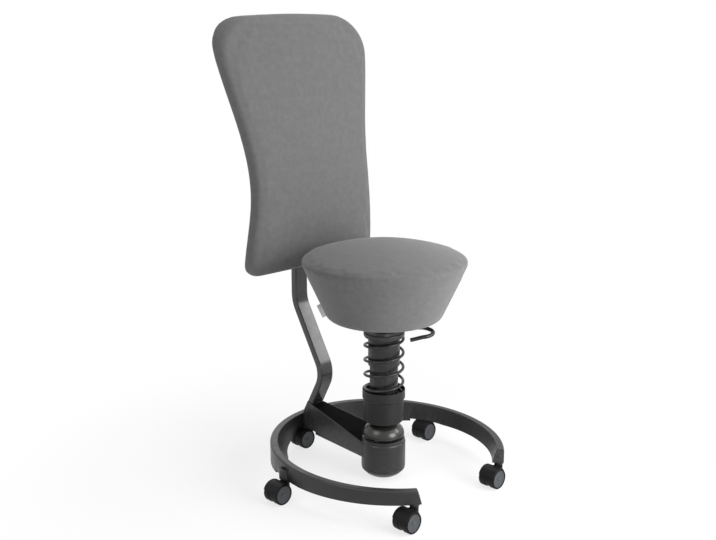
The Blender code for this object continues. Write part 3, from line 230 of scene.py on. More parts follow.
def turnPiece(name, profile, steps=72, edge=0.0, segments=3, ringShaped=False):
    # a vertex walked along the profile, then spun about the column's axis
    clearSelection()
    bpy.ops.mesh.primitive_plane_add(size=0.01, location=(0.0, 0.0, 0.0))
    piece = bpy.context.object
    piece.name = name
    editAll(piece)
    bpy.ops.mesh.merge(type="CENTER")
    bpy.ops.transform.translate(value=(profile[0][0], 0.0, profile[0][1]))
    walk = list(profile) + ([profile[0]] if ringShaped else [])
    for (radius, height), (nextRadius, nextHeight) in zip(walk, walk[1:]):
        bpy.ops.mesh.extrude_vertices_move(
            TRANSFORM_OT_translate={"value": (nextRadius - radius, 0.0, nextHeight - height)})
    bpy.ops.mesh.select_all(action="SELECT")
    bpy.ops.mesh.spin(steps=steps, angle=2.0 * math.pi, center=(0.0, 0.0, 0.0), axis=(0.0, 0.0, 1.0))
    leaveEdit()
    sewUp(piece, 0.00002)
    return rounded(piece, edge, segments)


def drum(name, hole, radius, start, end, steps=64, edge=0.0, segments=3):
    # a plain disc or tube between two heights
    profile = [(hole, start), (radius, start), (radius, end), (hole, end)]
    return turnPiece(name, profile, steps, edge, segments, hole > 0.0)


def loft(name, sections, edge=0.0, segments=3):
    # a grid whose rows are laid on the sections, sewn to a tube and closed at both ends
    clearSelection()
    points = len(sections[0])
    rows = len(sections) - 1
    bpy.ops.mesh.primitive_grid_add(x_subdivisions=points, y_subdivisions=rows, size=1.0)
    piece = bpy.context.object
    piece.name = name
    for vertex in piece.data.vertices:
        column = round((vertex.co.x + 0.5) * points) % points
        row = round((vertex.co.y + 0.5) * rows)
        vertex.co = sections[row][column]
    editAll(piece)
    bpy.ops.mesh.remove_doubles(threshold=0.00001)
    bpy.ops.mesh.fill_holes(sides=0)
    bpy.ops.mesh.normals_make_consistent(inside=False)
    leaveEdit()
    return rounded(piece, edge, segments)


def tubeAlong(name, points, radius, fineness=5):
    line = bpy.data.curves.new(name, "CURVE")
    line.dimensions = "3D"
    line.bevel_depth = radius
    line.bevel_resolution = fineness
    line.use_fill_caps = True
    run = line.splines.new("POLY")
    run.points.add(len(points) - 1)
    for stop, spot in zip(run.points, points):
        stop.co = (*spot, 1.0)
    pickOnly(newObject(name, line))
    bpy.ops.object.convert(target="MESH")
    rod = bpy.context.object
    sewUp(rod)
    smoothOver(rod, 50.0)
    return rod


def joinPieces(first, *others):
    pickOnly(first)
    for other in others:
        other.select_set(True)
    bpy.ops.object.join()
    return first


def copyOf(piece):
    return newObject(piece.name, piece.data.copy())


def softCopy(node, edge, segments=2):
    # a node's mesh, merged from its loose triangles, with its edges rounded
    piece = copyOf(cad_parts[node])
    editAll(piece)
    bpy.ops.mesh.remove_doubles(threshold=0.00001)
    bpy.ops.mesh.dissolve_limited(angle_limit=math.radians(1.0))
    leaveEdit()
    roundEdges(piece, edge, segments)
    smoothOver(piece, 30.0)
    return piece


def moveMesh(piece, matrix):
    piece.data.transform(matrix)


def paintOver(piece, finish):
    piece.data.materials.clear()
    piece.data.materials.append(finishes[finish])


def settle(piece, name, finish, body, nodes=(), placed=False):
    # the place goes into the mesh, then the piece joins its body
    if not placed:
        moveMesh(piece, Matrix.Translation(onFrame))
    piece.name = name
    piece.data.name = name
    if finish is not None:
        paintOver(piece, finish)
    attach(piece, body)
    if nodes:
        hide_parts(*nodes)
    return piece


def eased(share):
    share = min(max(share, 0.0), 1.0)
    return (1.0 - math.cos(math.pi * share)) / 2.0


# finishes
def nodeGroup(name, inputs):
    # every group takes a place and gives a colour, a height and a roughness
    group = bpy.data.node_groups.new(name, "ShaderNodeTree")
    group.interface.new_socket("Vector", in_out="INPUT", socket_type="NodeSocketVector")
    for label, value in inputs.items():
        kind = "NodeSocketFloat" if isinstance(value, float) else "NodeSocketColor"
        group.interface.new_socket(label, in_out="INPUT", socket_type=kind).default_value = value
    for label, kind in (("Color", "Color"), ("Height", "Float"), ("Roughness", "Float")):
        group.interface.new_socket(label, in_out="OUTPUT", socket_type="NodeSocket" + kind)
    return group, group.nodes.new("NodeGroupInput").outputs


def giveOut(group, *values):
    out = group.nodes.new("NodeGroupOutput")
    for value, socket in zip(values, out.inputs):
        group.links.new(value, socket)
    return group


def feed(group, value, socket):
    if isinstance(value, float):
        socket.default_value = value
    else:
        group.links.new(value, socket)


def noiseAt(group, vector, scale, detail, rough=0.55):
    noise = group.nodes.new("ShaderNodeTexNoise")
    noise.inputs["Detail"].default_value = detail
    noise.inputs["Roughness"].default_value = rough
    group.links.new(vector, noise.inputs["Vector"])
    feed(group, scale, noise.inputs["Scale"])
    return noise.outputs["Fac"]


def rangeOf(group, value, low, high, fromLow=0.3, fromHigh=0.7):
    remap = group.nodes.new("ShaderNodeMapRange")
    remap.inputs["From Min"].default_value = fromLow
    remap.inputs["From Max"].default_value = fromHigh
    group.links.new(value, remap.inputs["Value"])
    for label, end in (("To Min", low), ("To Max", high)):
        feed(group, end, remap.inputs[label])
    return remap.outputs["Result"]


def mathOf(group, operation, first, second):
    node = group.nodes.new("ShaderNodeMath")
    node.operation = operation
    for socket, value in zip(node.inputs, (first, second)):
        feed(group, value, socket)
    return node.outputs[0]


def blendOf(group, factor, first, second):
    node = group.nodes.new("ShaderNodeMix")
    node.data_type = "RGBA"
    group.links.new(factor, node.inputs["Factor"])
    group.links.new(first, node.inputs["A"])
    group.links.new(second, node.inputs["B"])
    return node.outputs["Result"]


def makeNapGroup():
    # brushed microfibre: soft mottling where the nap lies one way or the other, and a fine fibre grain
    group, given = nodeGroup("brushedNap", {
        "Light Tone": grey(0.25),
        "Dark Tone": grey(0.18),
        "Patch Scale": 26.0,
        "Fibre Scale": 900.0,
    })
    vector = given["Vector"]
    patches = rangeOf(group, noiseAt(group, vector, given["Patch Scale"], 5.0, 0.6), 0.0, 1.0, 0.34, 0.66)
    fibres = noiseAt(group, vector, given["Fibre Scale"], 3.0, 0.6)
    fine = rangeOf(group, fibres, -0.35, 0.35, 0.2, 0.8)
    flecks = noiseAt(group, vector, mathOf(group, "MULTIPLY", given["Fibre Scale"], 0.28), 4.0, 0.7)
    clumps = rangeOf(group, flecks, -0.25, 0.25, 0.25, 0.75)
    shade = mathOf(group, "ADD", mathOf(group, "ADD", patches, fine), clumps)
    clamp = rangeOf(group, shade, 0.0, 1.0, -0.2, 1.2)
    return giveOut(group, blendOf(group, clamp, given["Dark Tone"], given["Light Tone"]),
                   mathOf(group, "ADD", fibres, mathOf(group, "MULTIPLY", flecks, 0.8)),
                   rangeOf(group, patches, 0.86, 0.98, 0.0, 1.0))


def makeCoatGroup():
    # powder coat or moulded skin: a fine orange peel, faint clouds of tone, and a painted highlight that lightens the
    # convex edges a little, broken up by noise
    group, given = nodeGroup("fineCoat", {
        "Tone": grey(0.05),
        "Edge Highlight Tone": grey(0.12),
        "Cloud Tone": grey(0.04),
        "Grain Scale": 1400.0,
        "Least Roughness": 0.4,
        "Most Roughness": 0.5,
    })
    vector = given["Vector"]
    clouds = rangeOf(group, noiseAt(group, vector, 14.0, 4.0), 0.0, 1.0)
    grain = noiseAt(group, vector, given["Grain Scale"], 2.0)
    edges = group.nodes.new("ShaderNodeNewGeometry")
    # painted highlight: convex edges, found by their pointiness, are lightened towards the highlight tone, and noise
    # breaks this painted highlight up
    edgeHighlight = rangeOf(group, edges.outputs["Pointiness"], 0.0, 0.6, 0.515, 0.57)
    brokenEdgeHighlight = mathOf(group, "MULTIPLY", edgeHighlight, rangeOf(group, noiseAt(group, vector, 90.0, 3.0), 0.3, 1.0))
    base = blendOf(group, clouds, given["Tone"], given["Cloud Tone"])
    wear = noiseAt(group, vector, 45.0, 4.0)
    return giveOut(group, blendOf(group, brokenEdgeHighlight, base, given["Edge Highlight Tone"]), grain,
                   rangeOf(group, wear, given["Least Roughness"], given["Most Roughness"]))


def makeGrainGroup():
    # plywood: long grain lines along X with darker streaks
    group, given = nodeGroup("woodGrain", {
        "Pale Tone": (0.4, 0.28, 0.16, 1.0),
        "Streak Tone": (0.25, 0.16, 0.08, 1.0),
    })
    stretch = group.nodes.new("ShaderNodeMapping")
    stretch.inputs["Scale"].default_value = (6.0, 90.0, 90.0)
    group.links.new(given["Vector"], stretch.inputs["Vector"])
    lines = noiseAt(group, stretch.outputs["Vector"], 1.0, 6.0, 0.65)
    streaks = rangeOf(group, lines, 0.0, 1.0, 0.3, 0.7)
    return giveOut(group, blendOf(group, streaks, given["Pale Tone"], given["Streak Tone"]), lines,
                   rangeOf(group, lines, 0.5, 0.7))


def newFinish(name, group, values, bump, plain):
    # a Principled finish fed by one of the shared groups
    finish = bpy.data.materials.new(name)
    finish.use_nodes = True
    nodes, links = finish.node_tree.nodes, finish.node_tree.links
    shader = nodes["Principled BSDF"]
    where = nodes.new("ShaderNodeTexCoord")
    effect = nodes.new("ShaderNodeGroup")
    effect.node_tree = group
    links.new(where.outputs["Object"], effect.inputs["Vector"])
    for label, value in values.items():
        effect.inputs[label].default_value = value
    links.new(effect.outputs["Color"], shader.inputs["Base Color"])
    links.new(effect.outputs["Roughness"], shader.inputs["Roughness"])
    relief = nodes.new("ShaderNodeBump")
    relief.inputs["Strength"].default_value = bump[0]
    relief.inputs["Distance"].default_value = bump[1]
    links.new(effect.outputs["Height"], relief.inputs["Height"])
    links.new(relief.outputs["Normal"], shader.inputs["Normal"])
    for label, value in plain.items():
        shader.inputs[label].default_value = value
    return finish


def grey(level, blue=1.0):
    return (level, level, level * blue, 1.0)


clothValues = {"Light Tone": grey(0.158, 1.01), "Dark Tone": grey(0.128, 1.01), "Patch Scale": 75.0,
               "Fibre Scale": 900.0}
# tone, tone of the painted highlight on convex edges, tone of the clouds, least and most roughness
coatValues = {
    "charcoalCoat": (grey(0.018, 1.04), grey(0.08, 1.04), grey(0.015, 1.04), 0.34, 0.42),
    "barGloss": (grey(0.024, 1.08), grey(0.09, 1.08), grey(0.020, 1.08), 0.22, 0.28),
    "darkShell": (grey(0.010, 1.04), grey(0.03), grey(0.008, 1.04), 0.40, 0.48),
    "domeGloss": ((0.021, 0.021, 0.018, 1.0), grey(0.05), (0.018, 0.018, 0.016, 1.0), 0.24, 0.30),
    "softBlack": (grey(0.005, 1.05), grey(0.014), grey(0.004), 0.48, 0.58),
    "deepBlack": (grey(0.003), grey(0.008), grey(0.002), 0.60, 0.70),
    "wheelDisc": ((0.046, 0.051, 0.058, 1.0), grey(0.10), (0.038, 0.042, 0.048, 1.0), 0.42, 0.5),
    "springSteel": (grey(0.011, 1.08), grey(0.06), grey(0.009, 1.08), 0.28, 0.38),
    "zincSteel": (grey(0.52, 1.02), grey(0.7), grey(0.45, 1.02), 0.28, 0.42),
}


def makeFinishes():
    nap = makeNapGroup()
    coat = makeCoatGroup()
    grain = makeGrainGroup()
    made = {"microfibre": newFinish("greyMicrofibre", nap, clothValues, (0.35, 0.0006), {
        "Sheen Weight": 0.22, "Sheen Roughness": 0.45, "Specular IOR Level": 0.15})}
    metal = {"springSteel": 0.35, "zincSteel": 1.0}
    shine = {"softBlack": 0.16, "deepBlack": 0.02, "charcoalCoat": 0.4, "barGloss": 0.6, "darkShell": 0.35}
    labels = ("Tone", "Edge Highlight Tone", "Cloud Tone", "Least Roughness", "Most Roughness")
    for name, values in coatValues.items():
        made[name] = newFinish(name, coat, dict(zip(labels, values)), (0.12, 0.0003), {
            "Metallic": metal.get(name, 0.0), "Specular IOR Level": shine.get(name, 0.5)})
    made["paleTape"] = newFinish("paleTape", nap, {
        "Light Tone": grey(0.70), "Dark Tone": grey(0.60), "Patch Scale": 300.0, "Fibre Scale": 1800.0},
        (0.2, 0.0003), {"Specular IOR Level": 0.2})
    made["blackPly"] = newFinish("blackStainedPly", grain, {
        "Pale Tone": grey(0.030), "Streak Tone": grey(0.018)}, (0.15, 0.0004), {"Specular IOR Level": 0.35})
    made["plainPly"] = newFinish("plainPly", grain, {
        "Pale Tone": (0.42, 0.29, 0.17, 1.0), "Streak Tone": (0.30, 0.19, 0.10, 1.0)}, (0.15, 0.0004), {})
    print("finishes done")
    return made


finishes = makeFinishes()


# foot ring and its caster sockets
footRing = {
    "length": 0.596, "width": 0.552, "forward": 0.0085, "bar": 0.020, "topBar": 0.0175, "footBar": 0.029,
    "wideBar": 0.045, "evenTurn": 9.5, "wideTurn": 44.0, "draftTurn": 80.0, "top": 0.097, "depthBack": 0.0525,
    "depthSide": 0.0425, "depthFront": 0.0335, "sideY": 0.070, "backY": 0.175, "mouth": 33.2, "endSlant": 0.009,
    "edge": 0.0015, "shoulder": 0.0032, "stations": 150, "swivelRoom": 0.054, "endRadius": 0.285,
    "endStep": 1.2, "stemHole": 0.0060, "socketEdge": 0.0016,
    "socketRadius": 0.0150, "frontSocket": 0.0120, "socketFoot": 0.0570, "socketHeight": 0.025,
}
# where the casters stand: degrees round from the front, and how far in from the ring's outer edge
casterSpots = {"back": (180.0, 0.020), "left": (105.8, 0.003), "right": (-105.8, 0.003),
               "front_left": (36.3, 0.0125), "front_right": (-36.3, 0.0125)}


def ringSpot(degrees, inset):
    turn = math.radians(degrees)
    across = footRing["width"] / 2 - inset
    along = footRing["length"] / 2 - inset
    return Vector((across * math.sin(turn), -along * math.cos(turn) - footRing["forward"], 0.0))


def ringFloor(y):
    # deeper towards the sides, and faster from there to the back
    r = footRing
    front = ringSpot(r["mouth"], 0.0).y
    if y < r["sideY"]:
        return r["top"] - r["depthFront"] - (r["depthSide"] - r["depthFront"]) * (y - front) / (r["sideY"] - front)
    share = min((y - r["sideY"]) / (r["backY"] - r["sideY"]), 1.0)
    return r["top"] - r["depthSide"] - share * (r["depthBack"] - r["depthSide"])


def ringBars(degrees):
    # how wide the bar is on top and at its foot: even behind the arm, widest at the foot beside it
    r = footRing
    turn = abs(degrees - 180.0)
    share = min(max((turn - r["evenTurn"]) / (r["draftTurn"] - r["evenTurn"]), 0.0), 1.0)
    upper = r["bar"] + share * (r["topBar"] - r["bar"])
    if turn > r["wideTurn"]:
        share = eased((r["draftTurn"] - turn) / (r["draftTurn"] - r["wideTurn"]))
        return upper, r["footBar"] + share * (r["wideBar"] - r["footBar"])
    share = max((turn - r["evenTurn"]) / (r["wideTurn"] - r["evenTurn"]), 0.0)
    return upper, r["bar"] + share * (r["wideBar"] - r["bar"])


def makeFootRing():
    r = footRing
    top, shoulder = r["top"], r["shoulder"]
    slant = math.degrees(r["endSlant"] / r["endRadius"])
    first, last = r["mouth"], 360.0 - r["mouth"]
    inner = [first + slant + r["endStep"] + (last - first - 2 * slant - 2 * r["endStep"]) * i / r["stations"]
             for i in range(r["stations"] + 1)]
    stations = [(first, first + slant)] + [(a, a) for a in inner] + [(last, last - slant)]
    sections = []
    for low, high in stations:
        corners = [(ringSpot(high, 0.0), top - shoulder), (ringSpot(high, shoulder), top),
                   (ringSpot(high, ringBars(high)[0]), top)]
        corners += [(spot, ringFloor(spot.y)) for spot in (ringSpot(low, ringBars(low)[1]), ringSpot(low, 0.0))]
        sections.append([Vector((spot.x, spot.y, z)) for spot, z in corners])
    ring = loft("footRing", sections, r["edge"], 3)
    foot, height = r["socketFoot"], r["socketHeight"]
    # room below the deep part of the ring for three of the casters to swivel
    for side in ("back", "left", "right"):
        room = drum("swivelRoom", 0.0, r["swivelRoom"], 0.0, foot)
        moveMesh(room, Matrix.Translation(ringSpot(*casterSpots[side])))
        cutAway(ring, room)
    smoothOver(ring)
    for side, (degrees, inset) in casterSpots.items():
        radius = r["frontSocket"] if "front" in side else r["socketRadius"]
        boss = drum("socketBoss", r["stemHole"], radius, foot, foot + height, 40, r["socketEdge"])
        moveMesh(boss, Matrix.Translation(ringSpot(degrees, inset)))
        ring = joinPieces(ring, boss)
    settle(ring, "footRing", "charcoalCoat", "base", ["base_ring"])
    print("foot ring done")


# casters, one modelled and copied to the five sockets
caster = {
    "floor": 0.004, "wheelRadius": 0.0250, "wheelWidth": 0.0168, "web": 0.0108, "trail": 0.0245,
    "discRadius": 0.0205, "shoulder": 0.0026, "hoodWall": 0.0014, "hoodGap": 0.0008, "hoodStart": 20.0,
    "hoodEnd": 142.0, "bossRadius": 0.010, "bossHeight": 0.0005, "stemRadius": 0.0055, "stemLength": 0.024,
    "running": 0.0004, "taper": 0.10, "taperStart": 110.0, "roll": 0.0026, "lip": 0.0009, "hoodEdge": 0.0007,
    "webInset": 0.0018, "partEdge": 0.0006, "neckStart": -0.0085, "neckMiddle": 0.004, "neckEdge": 0.0012,
    "capRadius": 0.0042, "groove": 0.0022,
}


def makeCasterBody():
    c = caster
    radius = c["wheelRadius"]
    inner = radius + c["hoodGap"]
    outer = inner + c["hoodWall"]
    half = c["web"] / 2 + c["wheelWidth"]
    top = 2 * radius + c["hoodGap"] + c["hoodWall"]
    axle = Vector((c["trail"], 0.0, radius))
    # hood: a band over both wheels whose sides are rolled down a little
    stations = 28
    sections = []
    for i in range(stations + 1):
        degrees = c["hoodStart"] + (c["hoodEnd"] - c["hoodStart"]) * i / stations
        taper = 1.0 - c["taper"] * max(0.0, (degrees - c["taperStart"]) / (c["hoodEnd"] - c["taperStart"]))
        turn = math.radians(degrees)
        way = Vector((math.cos(turn), 0.0, math.sin(turn)))
        side = Vector((0.0, half * taper, 0.0))
        roll = Vector((0.0, c["roll"], 0.0))
        sections.append([
            axle + way * inner - side, axle + way * inner + side,
            axle + way * (outer - c["lip"]) + side, axle + way * outer + side - roll,
            axle + way * outer - side + roll, axle + way * (outer - c["lip"]) - side,
        ])
    body = loft("casterHood", sections, c["hoodEdge"], 2)
    wide = c["web"] / 2
    web = drum("casterWeb", 0.0, radius - c["webInset"], -wide, wide, 48, c["partEdge"], 2)
    moveMesh(web, Matrix.Translation(axle) @ Matrix.Rotation(math.pi / 2, 4, "X"))
    bossTop, bossFoot = top + c["bossHeight"], radius * 1.25
    stemTop = bossTop + c["stemLength"]
    boss = turnPiece("casterBoss", [
        (0.0, stemTop), (c["stemRadius"], stemTop), (c["stemRadius"], bossTop), (c["bossRadius"], bossTop),
        (c["bossRadius"], bossFoot), (0.0, bossFoot)], 40, c["partEdge"], 2)
    # neck: a block from the swivel back to the web, drawn in towards the axle
    narrow = wide - 0.0003
    neck = loft("casterNeck", [
        [Vector((x, -w, low)), Vector((x, w, low)), Vector((x, w, high)), Vector((x, -w, high))]
        for x, w, low, high in (
            (c["neckStart"], narrow, radius * 1.35, top + 0.0004), (c["neckMiddle"], wide, radius * 1.05, top - 0.0004),
            (c["trail"], narrow, radius, top - 0.0012))], c["neckEdge"], 2)
    return joinPieces(body, web, boss, neck)


def makeCasterWheel():
    # turned about Z with its dished face up: tyre, rounded shoulder, groove, disc and a small centre cap
    c = caster
    low = c["web"] / 2 + c["running"]
    high = low + c["wheelWidth"]
    radius, disc = c["wheelRadius"], c["discRadius"]
    profile = [(0.0, high - 0.0004), (c["capRadius"], high - 0.0005), (c["capRadius"] + 0.0008, high - 0.0018),
               (disc - c["groove"], high - 0.0019),
               (disc, high - 0.0012), (disc + 0.0004, high - c["groove"]), (disc + 0.0011, high - c["groove"]),
               (disc + 0.0016, high - 0.0002)]
    shoulder = c["shoulder"]
    for i in range(7):
        turn = math.pi / 2 * i / 6
        profile.append((radius - shoulder + shoulder * math.sin(turn), high - shoulder + shoulder * math.cos(turn)))
    profile += [(radius, low + 0.0020), (radius - 0.0020, low), (0.0, low)]
    wheel = turnPiece("casterWheel", profile, 64)
    for face in wheel.data.polygons:
        spot = face.center
        face.material_index = 1 if math.hypot(spot.x, spot.y) < disc + 0.0002 and spot.z > low + 0.004 else 0
    return wheel


def makeCasters():
    body = makeCasterBody()
    wheel = makeCasterWheel()
    wheel.data.materials.append(finishes["softBlack"])
    wheel.data.materials.append(finishes["wheelDisc"])
    turned = Matrix.Rotation(math.pi, 4, "Z")
    for side, (degrees, inset) in casterSpots.items():
        spot = ringSpot(degrees, inset) + Vector((0.0, 0.0, caster["floor"]))
        twin = copyOf(body)
        moveMesh(twin, Matrix.Translation(spot) @ turned)
        settle(twin, "casterHood_" + side, "softBlack", "caster_" + side,
               ["caster_body_" + side])
        axle = spot + turned.to_3x3() @ Vector((caster["trail"], 0.0, caster["wheelRadius"]))
        for letter, lay in (("a", -math.pi / 2), ("b", math.pi / 2)):
            roller = copyOf(wheel)
            moveMesh(roller, Matrix.Translation(axle) @ turned @ Matrix.Rotation(lay, 4, "X"))
            which = side + "_" + letter
            settle(roller, "casterWheel_" + which, None, "wheel_" + which, ["caster_wheel_" + which])
    for spare in (body, wheel):
        bpy.data.objects.remove(spare, do_unlink=True)
    print("five casters done")


# foot housing, tilting dome, spring collar and the column's sliding parts
columnParts = {
    "housingRadius": 0.0545, "lipRadius": 0.0525, "lipHeight": 0.0075, "housingTop": 0.105, "housingFoot": 0.030,
    "bore": 0.040, "boreFloor": 0.061, "capFoot": 0.009, "capFootRadius": 0.034, "capRadius": 0.0435,
    "capChamfer": 0.0055, "domeRadius": 0.0515, "domeRise": 0.036, "domeFoot": 0.113,
    "domeWall": 0.0035, "neckRadius": 0.024, "collarFoot": 0.150, "collarRadius": 0.049, "rimRadius": 0.0525,
    "rimHeight": 0.022, "collarTop": 0.231, "cupFloor": 0.2155, "cupWall": 0.0016, "postRadius": 0.035,
    "sleeveRadius": 0.0388, "sleeveFoot": 0.293, "plateRadius": 0.050, "plateFoot": 0.3645,
    "plateTop": 0.378, "gasRadius": 0.014, "gap": 0.0003, "slide": 0.0004, "lipSlant": 0.002, "capLean": 0.0014,
    "rimSlant": 0.0035, "collarChamfer": 0.00175, "recessRadius": 0.0404, "recess": 0.0051, "plateChamfer": 0.0045,
    "housingEdge": 0.0011, "capEdge": 0.0014, "collarEdge": 0.0006, "sleeveEdge": 0.0007, "plateEdge": 0.0008,
}


def makeFoot():
    c = columnParts
    wide, bore, lip = c["housingRadius"], c["bore"], c["lipRadius"]
    top, foot, lipFoot = c["housingTop"], c["housingFoot"], c["housingTop"] - c["lipHeight"]
    housing = turnPiece("footHousing", [
        (0.0, c["boreFloor"]), (bore, c["boreFloor"]), (bore, top), (lip, top), (lip, lipFoot),
        (wide, lipFoot - c["lipSlant"]), (wide, foot), (0.0, foot)], 96, c["housingEdge"], 3)
    settle(housing, "footHousing", "charcoalCoat", "base", ["foot_housing"])
    top, foot, chamfer = foot - c["gap"], c["capFoot"], c["capChamfer"]
    cap = turnPiece("footCap", [
        (0.0, top), (wide, top), (wide - c["capLean"], top - chamfer), (c["capRadius"], foot + chamfer),
        (c["capFootRadius"], foot), (0.0, foot)], 96, c["capEdge"], 3)
    settle(cap, "footCap", "charcoalCoat", "base", ["foot_cap"])


def makeDome():
    c = columnParts
    steps, wall, radius, hole = 18, c["domeWall"], c["domeRadius"], c["neckRadius"] + c["gap"]
    last = math.acos(hole / radius)
    outside, inside = [], []
    for i in range(steps + 1):
        turn = last * (steps - i) / steps
        outside.append((radius * math.cos(turn), c["domeFoot"] + c["domeRise"] * math.sin(turn)))
        inside.append((max((radius - wall) * math.cos(turn), hole),
                       c["domeFoot"] + (c["domeRise"] - wall) * math.sin(turn)))
    dome = turnPiece("tiltDome", outside + inside[::-1], 96, 0.0, 2, True)
    settle(dome, "tiltDome", "domeGloss", "column", ["tilt_dome"])


def makeCollar():
    c = columnParts
    bore, rim, cup = c["postRadius"] + c["slide"], c["rimRadius"], c["rimRadius"] - c["cupWall"]
    radius, hollow, chamfer = c["collarRadius"], c["recessRadius"], c["collarChamfer"]
    top, rimFoot = c["collarTop"], c["collarTop"] - c["rimHeight"]
    foot, recess = c["collarFoot"], c["collarFoot"] + c["recess"]
    collar = turnPiece("springCollar", [
        (bore, c["cupFloor"]), (cup, c["cupFloor"]), (cup, top), (rim, top), (rim, rimFoot),
        (radius, rimFoot - c["rimSlant"]), (radius, foot + chamfer), (radius - chamfer, foot), (hollow, foot),
        (hollow, recess), (bore, recess)], 96, c["collarEdge"], 2, True)
    settle(collar, "springCollar", "darkShell", "collar", ["spring_collar"])


def makeSlider():
    c = columnParts
    radius, top, foot, chamfer = c["plateRadius"], c["plateTop"], c["plateFoot"], c["plateChamfer"]
    sleeve = drum("columnSleeve", c["postRadius"] + c["slide"], c["sleeveRadius"], foot - c["gap"], c["sleeveFoot"],
                  80, c["sleeveEdge"], 2)
    settle(sleeve, "columnSleeve", "springSteel", "slider", ["column_sleeve"])
    rod = c["gasRadius"] + c["slide"]
    plate = turnPiece("springPlate", [
        (rod, top), (radius - chamfer / 2, top), (radius, top - chamfer / 2), (radius, foot + chamfer),
        (radius - chamfer / 2, foot), (rod, foot)], 96, c["plateEdge"], 3, True)
    settle(plate, "springPlate", "charcoalCoat", "slider", ["spring_plate"])
    print("column parts done")


# coil spring
coilSpring = {"wire": 0.007, "radius": 0.047, "pitch": 0.0368, "start": 322.0, "endTurn": 0.30, "perTurn": 48,
              "travel": 0.045}


def makeSpring():
    s, c = coilSpring, columnParts
    wire = s["wire"]
    low = c["cupFloor"] + c["gap"] + wire / 2
    high = c["plateFoot"] - c["gap"] - wire / 2
    end = s["endTurn"]
    turns = (high - low) / s["pitch"] + end
    count = round(turns * s["perTurn"])
    points = []
    for i in range(count + 1):
        turn = turns * i / count
        rise = turn - end / 2
        if turn < end:
            rise = turn * turn / (2 * end)
        elif turns - turn < end:
            rise = turns - end - (turns - turn) ** 2 / (2 * end)
        angle = math.radians(s["start"]) + 2 * math.pi * turn
        points.append((s["radius"] * math.cos(angle), s["radius"] * math.sin(angle),
                       low + rise * s["pitch"]))
    spring = tubeAlong("coilSpring", points, wire / 2, 5)
    settle(spring, "coilSpring", "springSteel", "column", ["coil_spring"])
    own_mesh(spring)
    print("coil spring done, turns %.2f" % turns)


# height lever
heightLever = {"direction": -47.35, "rod": 0.0098, "tip": -0.005, "height": 0.4097, "drop": 0.0235,
               "dropStart": 0.046, "dropEnd": 0.080, "reach": 0.092, "hook": 0.025, "tail": 0.030, "tailDrop": 0.016,
               "straight": 0.6, "edge": 0.0012}


def makeLever():
    v = heightLever
    outer = v["height"] - v["drop"]
    points = [Vector((v["tip"], 0.0, v["height"])), Vector((v["dropStart"] * v["straight"], 0.0, v["height"]))]
    for i in range(17):
        share = i / 16
        points.append(Vector((v["dropStart"] + (v["dropEnd"] - v["dropStart"]) * share, 0.0,
                              v["height"] - v["drop"] * eased(share))))
    for i in range(33):
        turn = math.pi / 2 - math.pi * i / 32
        points.append(Vector((v["reach"] + v["hook"] * math.cos(turn), v["hook"] * (math.sin(turn) - 1.0),
                              outer - v["tailDrop"] / 2 * i / 32)))
    points.append(Vector((v["reach"] - v["tail"], -2 * v["hook"], outer - v["tailDrop"])))
    lever = tubeAlong("heightLever", points, v["rod"] / 2, 4)
    roundEdges(lever, v["edge"], 2, 60.0)
    smoothOver(lever, 50.0)
    moveMesh(lever, Matrix.Rotation(math.radians(v["direction"]), 4, "Z"))
    settle(lever, "heightLever", "springSteel", "lever", ["height_lever"])
    print("lever done")


# arm, backrest bar and bracket
backBar = {"width": 0.042, "thickness": 0.018, "uprightY": 0.300, "top": 0.735, "kneeY": 0.198, "kneeZ": 0.2186,
           "kneeRadius": 0.065, "slant": 29.7, "footSlant": 27.6, "footZ": 0.133, "bendRadius": 0.085,
           "edge": 0.0034, "bendSteps": 18}


def bendBetween(corner, before, after, radius, steps):
    back = (before - corner).normalized()
    ahead = (after - corner).normalized()
    half = back.angle(ahead) / 2
    start = corner + back * (radius / math.tan(half))
    centre = corner + (back + ahead).normalized() * (radius / math.sin(half))
    swing = math.pi - 2 * half
    if back.x * ahead.y - back.y * ahead.x > 0.0:
        swing = -swing
    arm = start - centre
    return [centre + Matrix.Rotation(swing * i / steps, 2) @ arm for i in range(steps + 1)]


# arm from the column to the ring, with a recess for its cover
footArm = {"topAtColumn": 0.0895, "footAtColumn": 0.0575, "footAtRing": 0.0475, "width": 0.108, "cover": 0.003,
           "margin": 0.003, "edge": 0.0016, "gap": 0.0003, "start": 0.015, "coverStart": 0.02725,
           "above": 0.02, "boreTop": 0.2}


def oblong(half, near, far):
    # the corners of a bar's section, from two places in the stool's middle plane
    return [Vector((-half, *near)), Vector((half, *near)), Vector((half, *far)), Vector((-half, *far))]


def barFoot():
    b = backBar
    knee = Vector((b["kneeY"], b["kneeZ"]))
    return knee, knee + Vector((math.tan(math.radians(b["footSlant"])), -1.0)) * (b["kneeZ"] - b["footZ"])


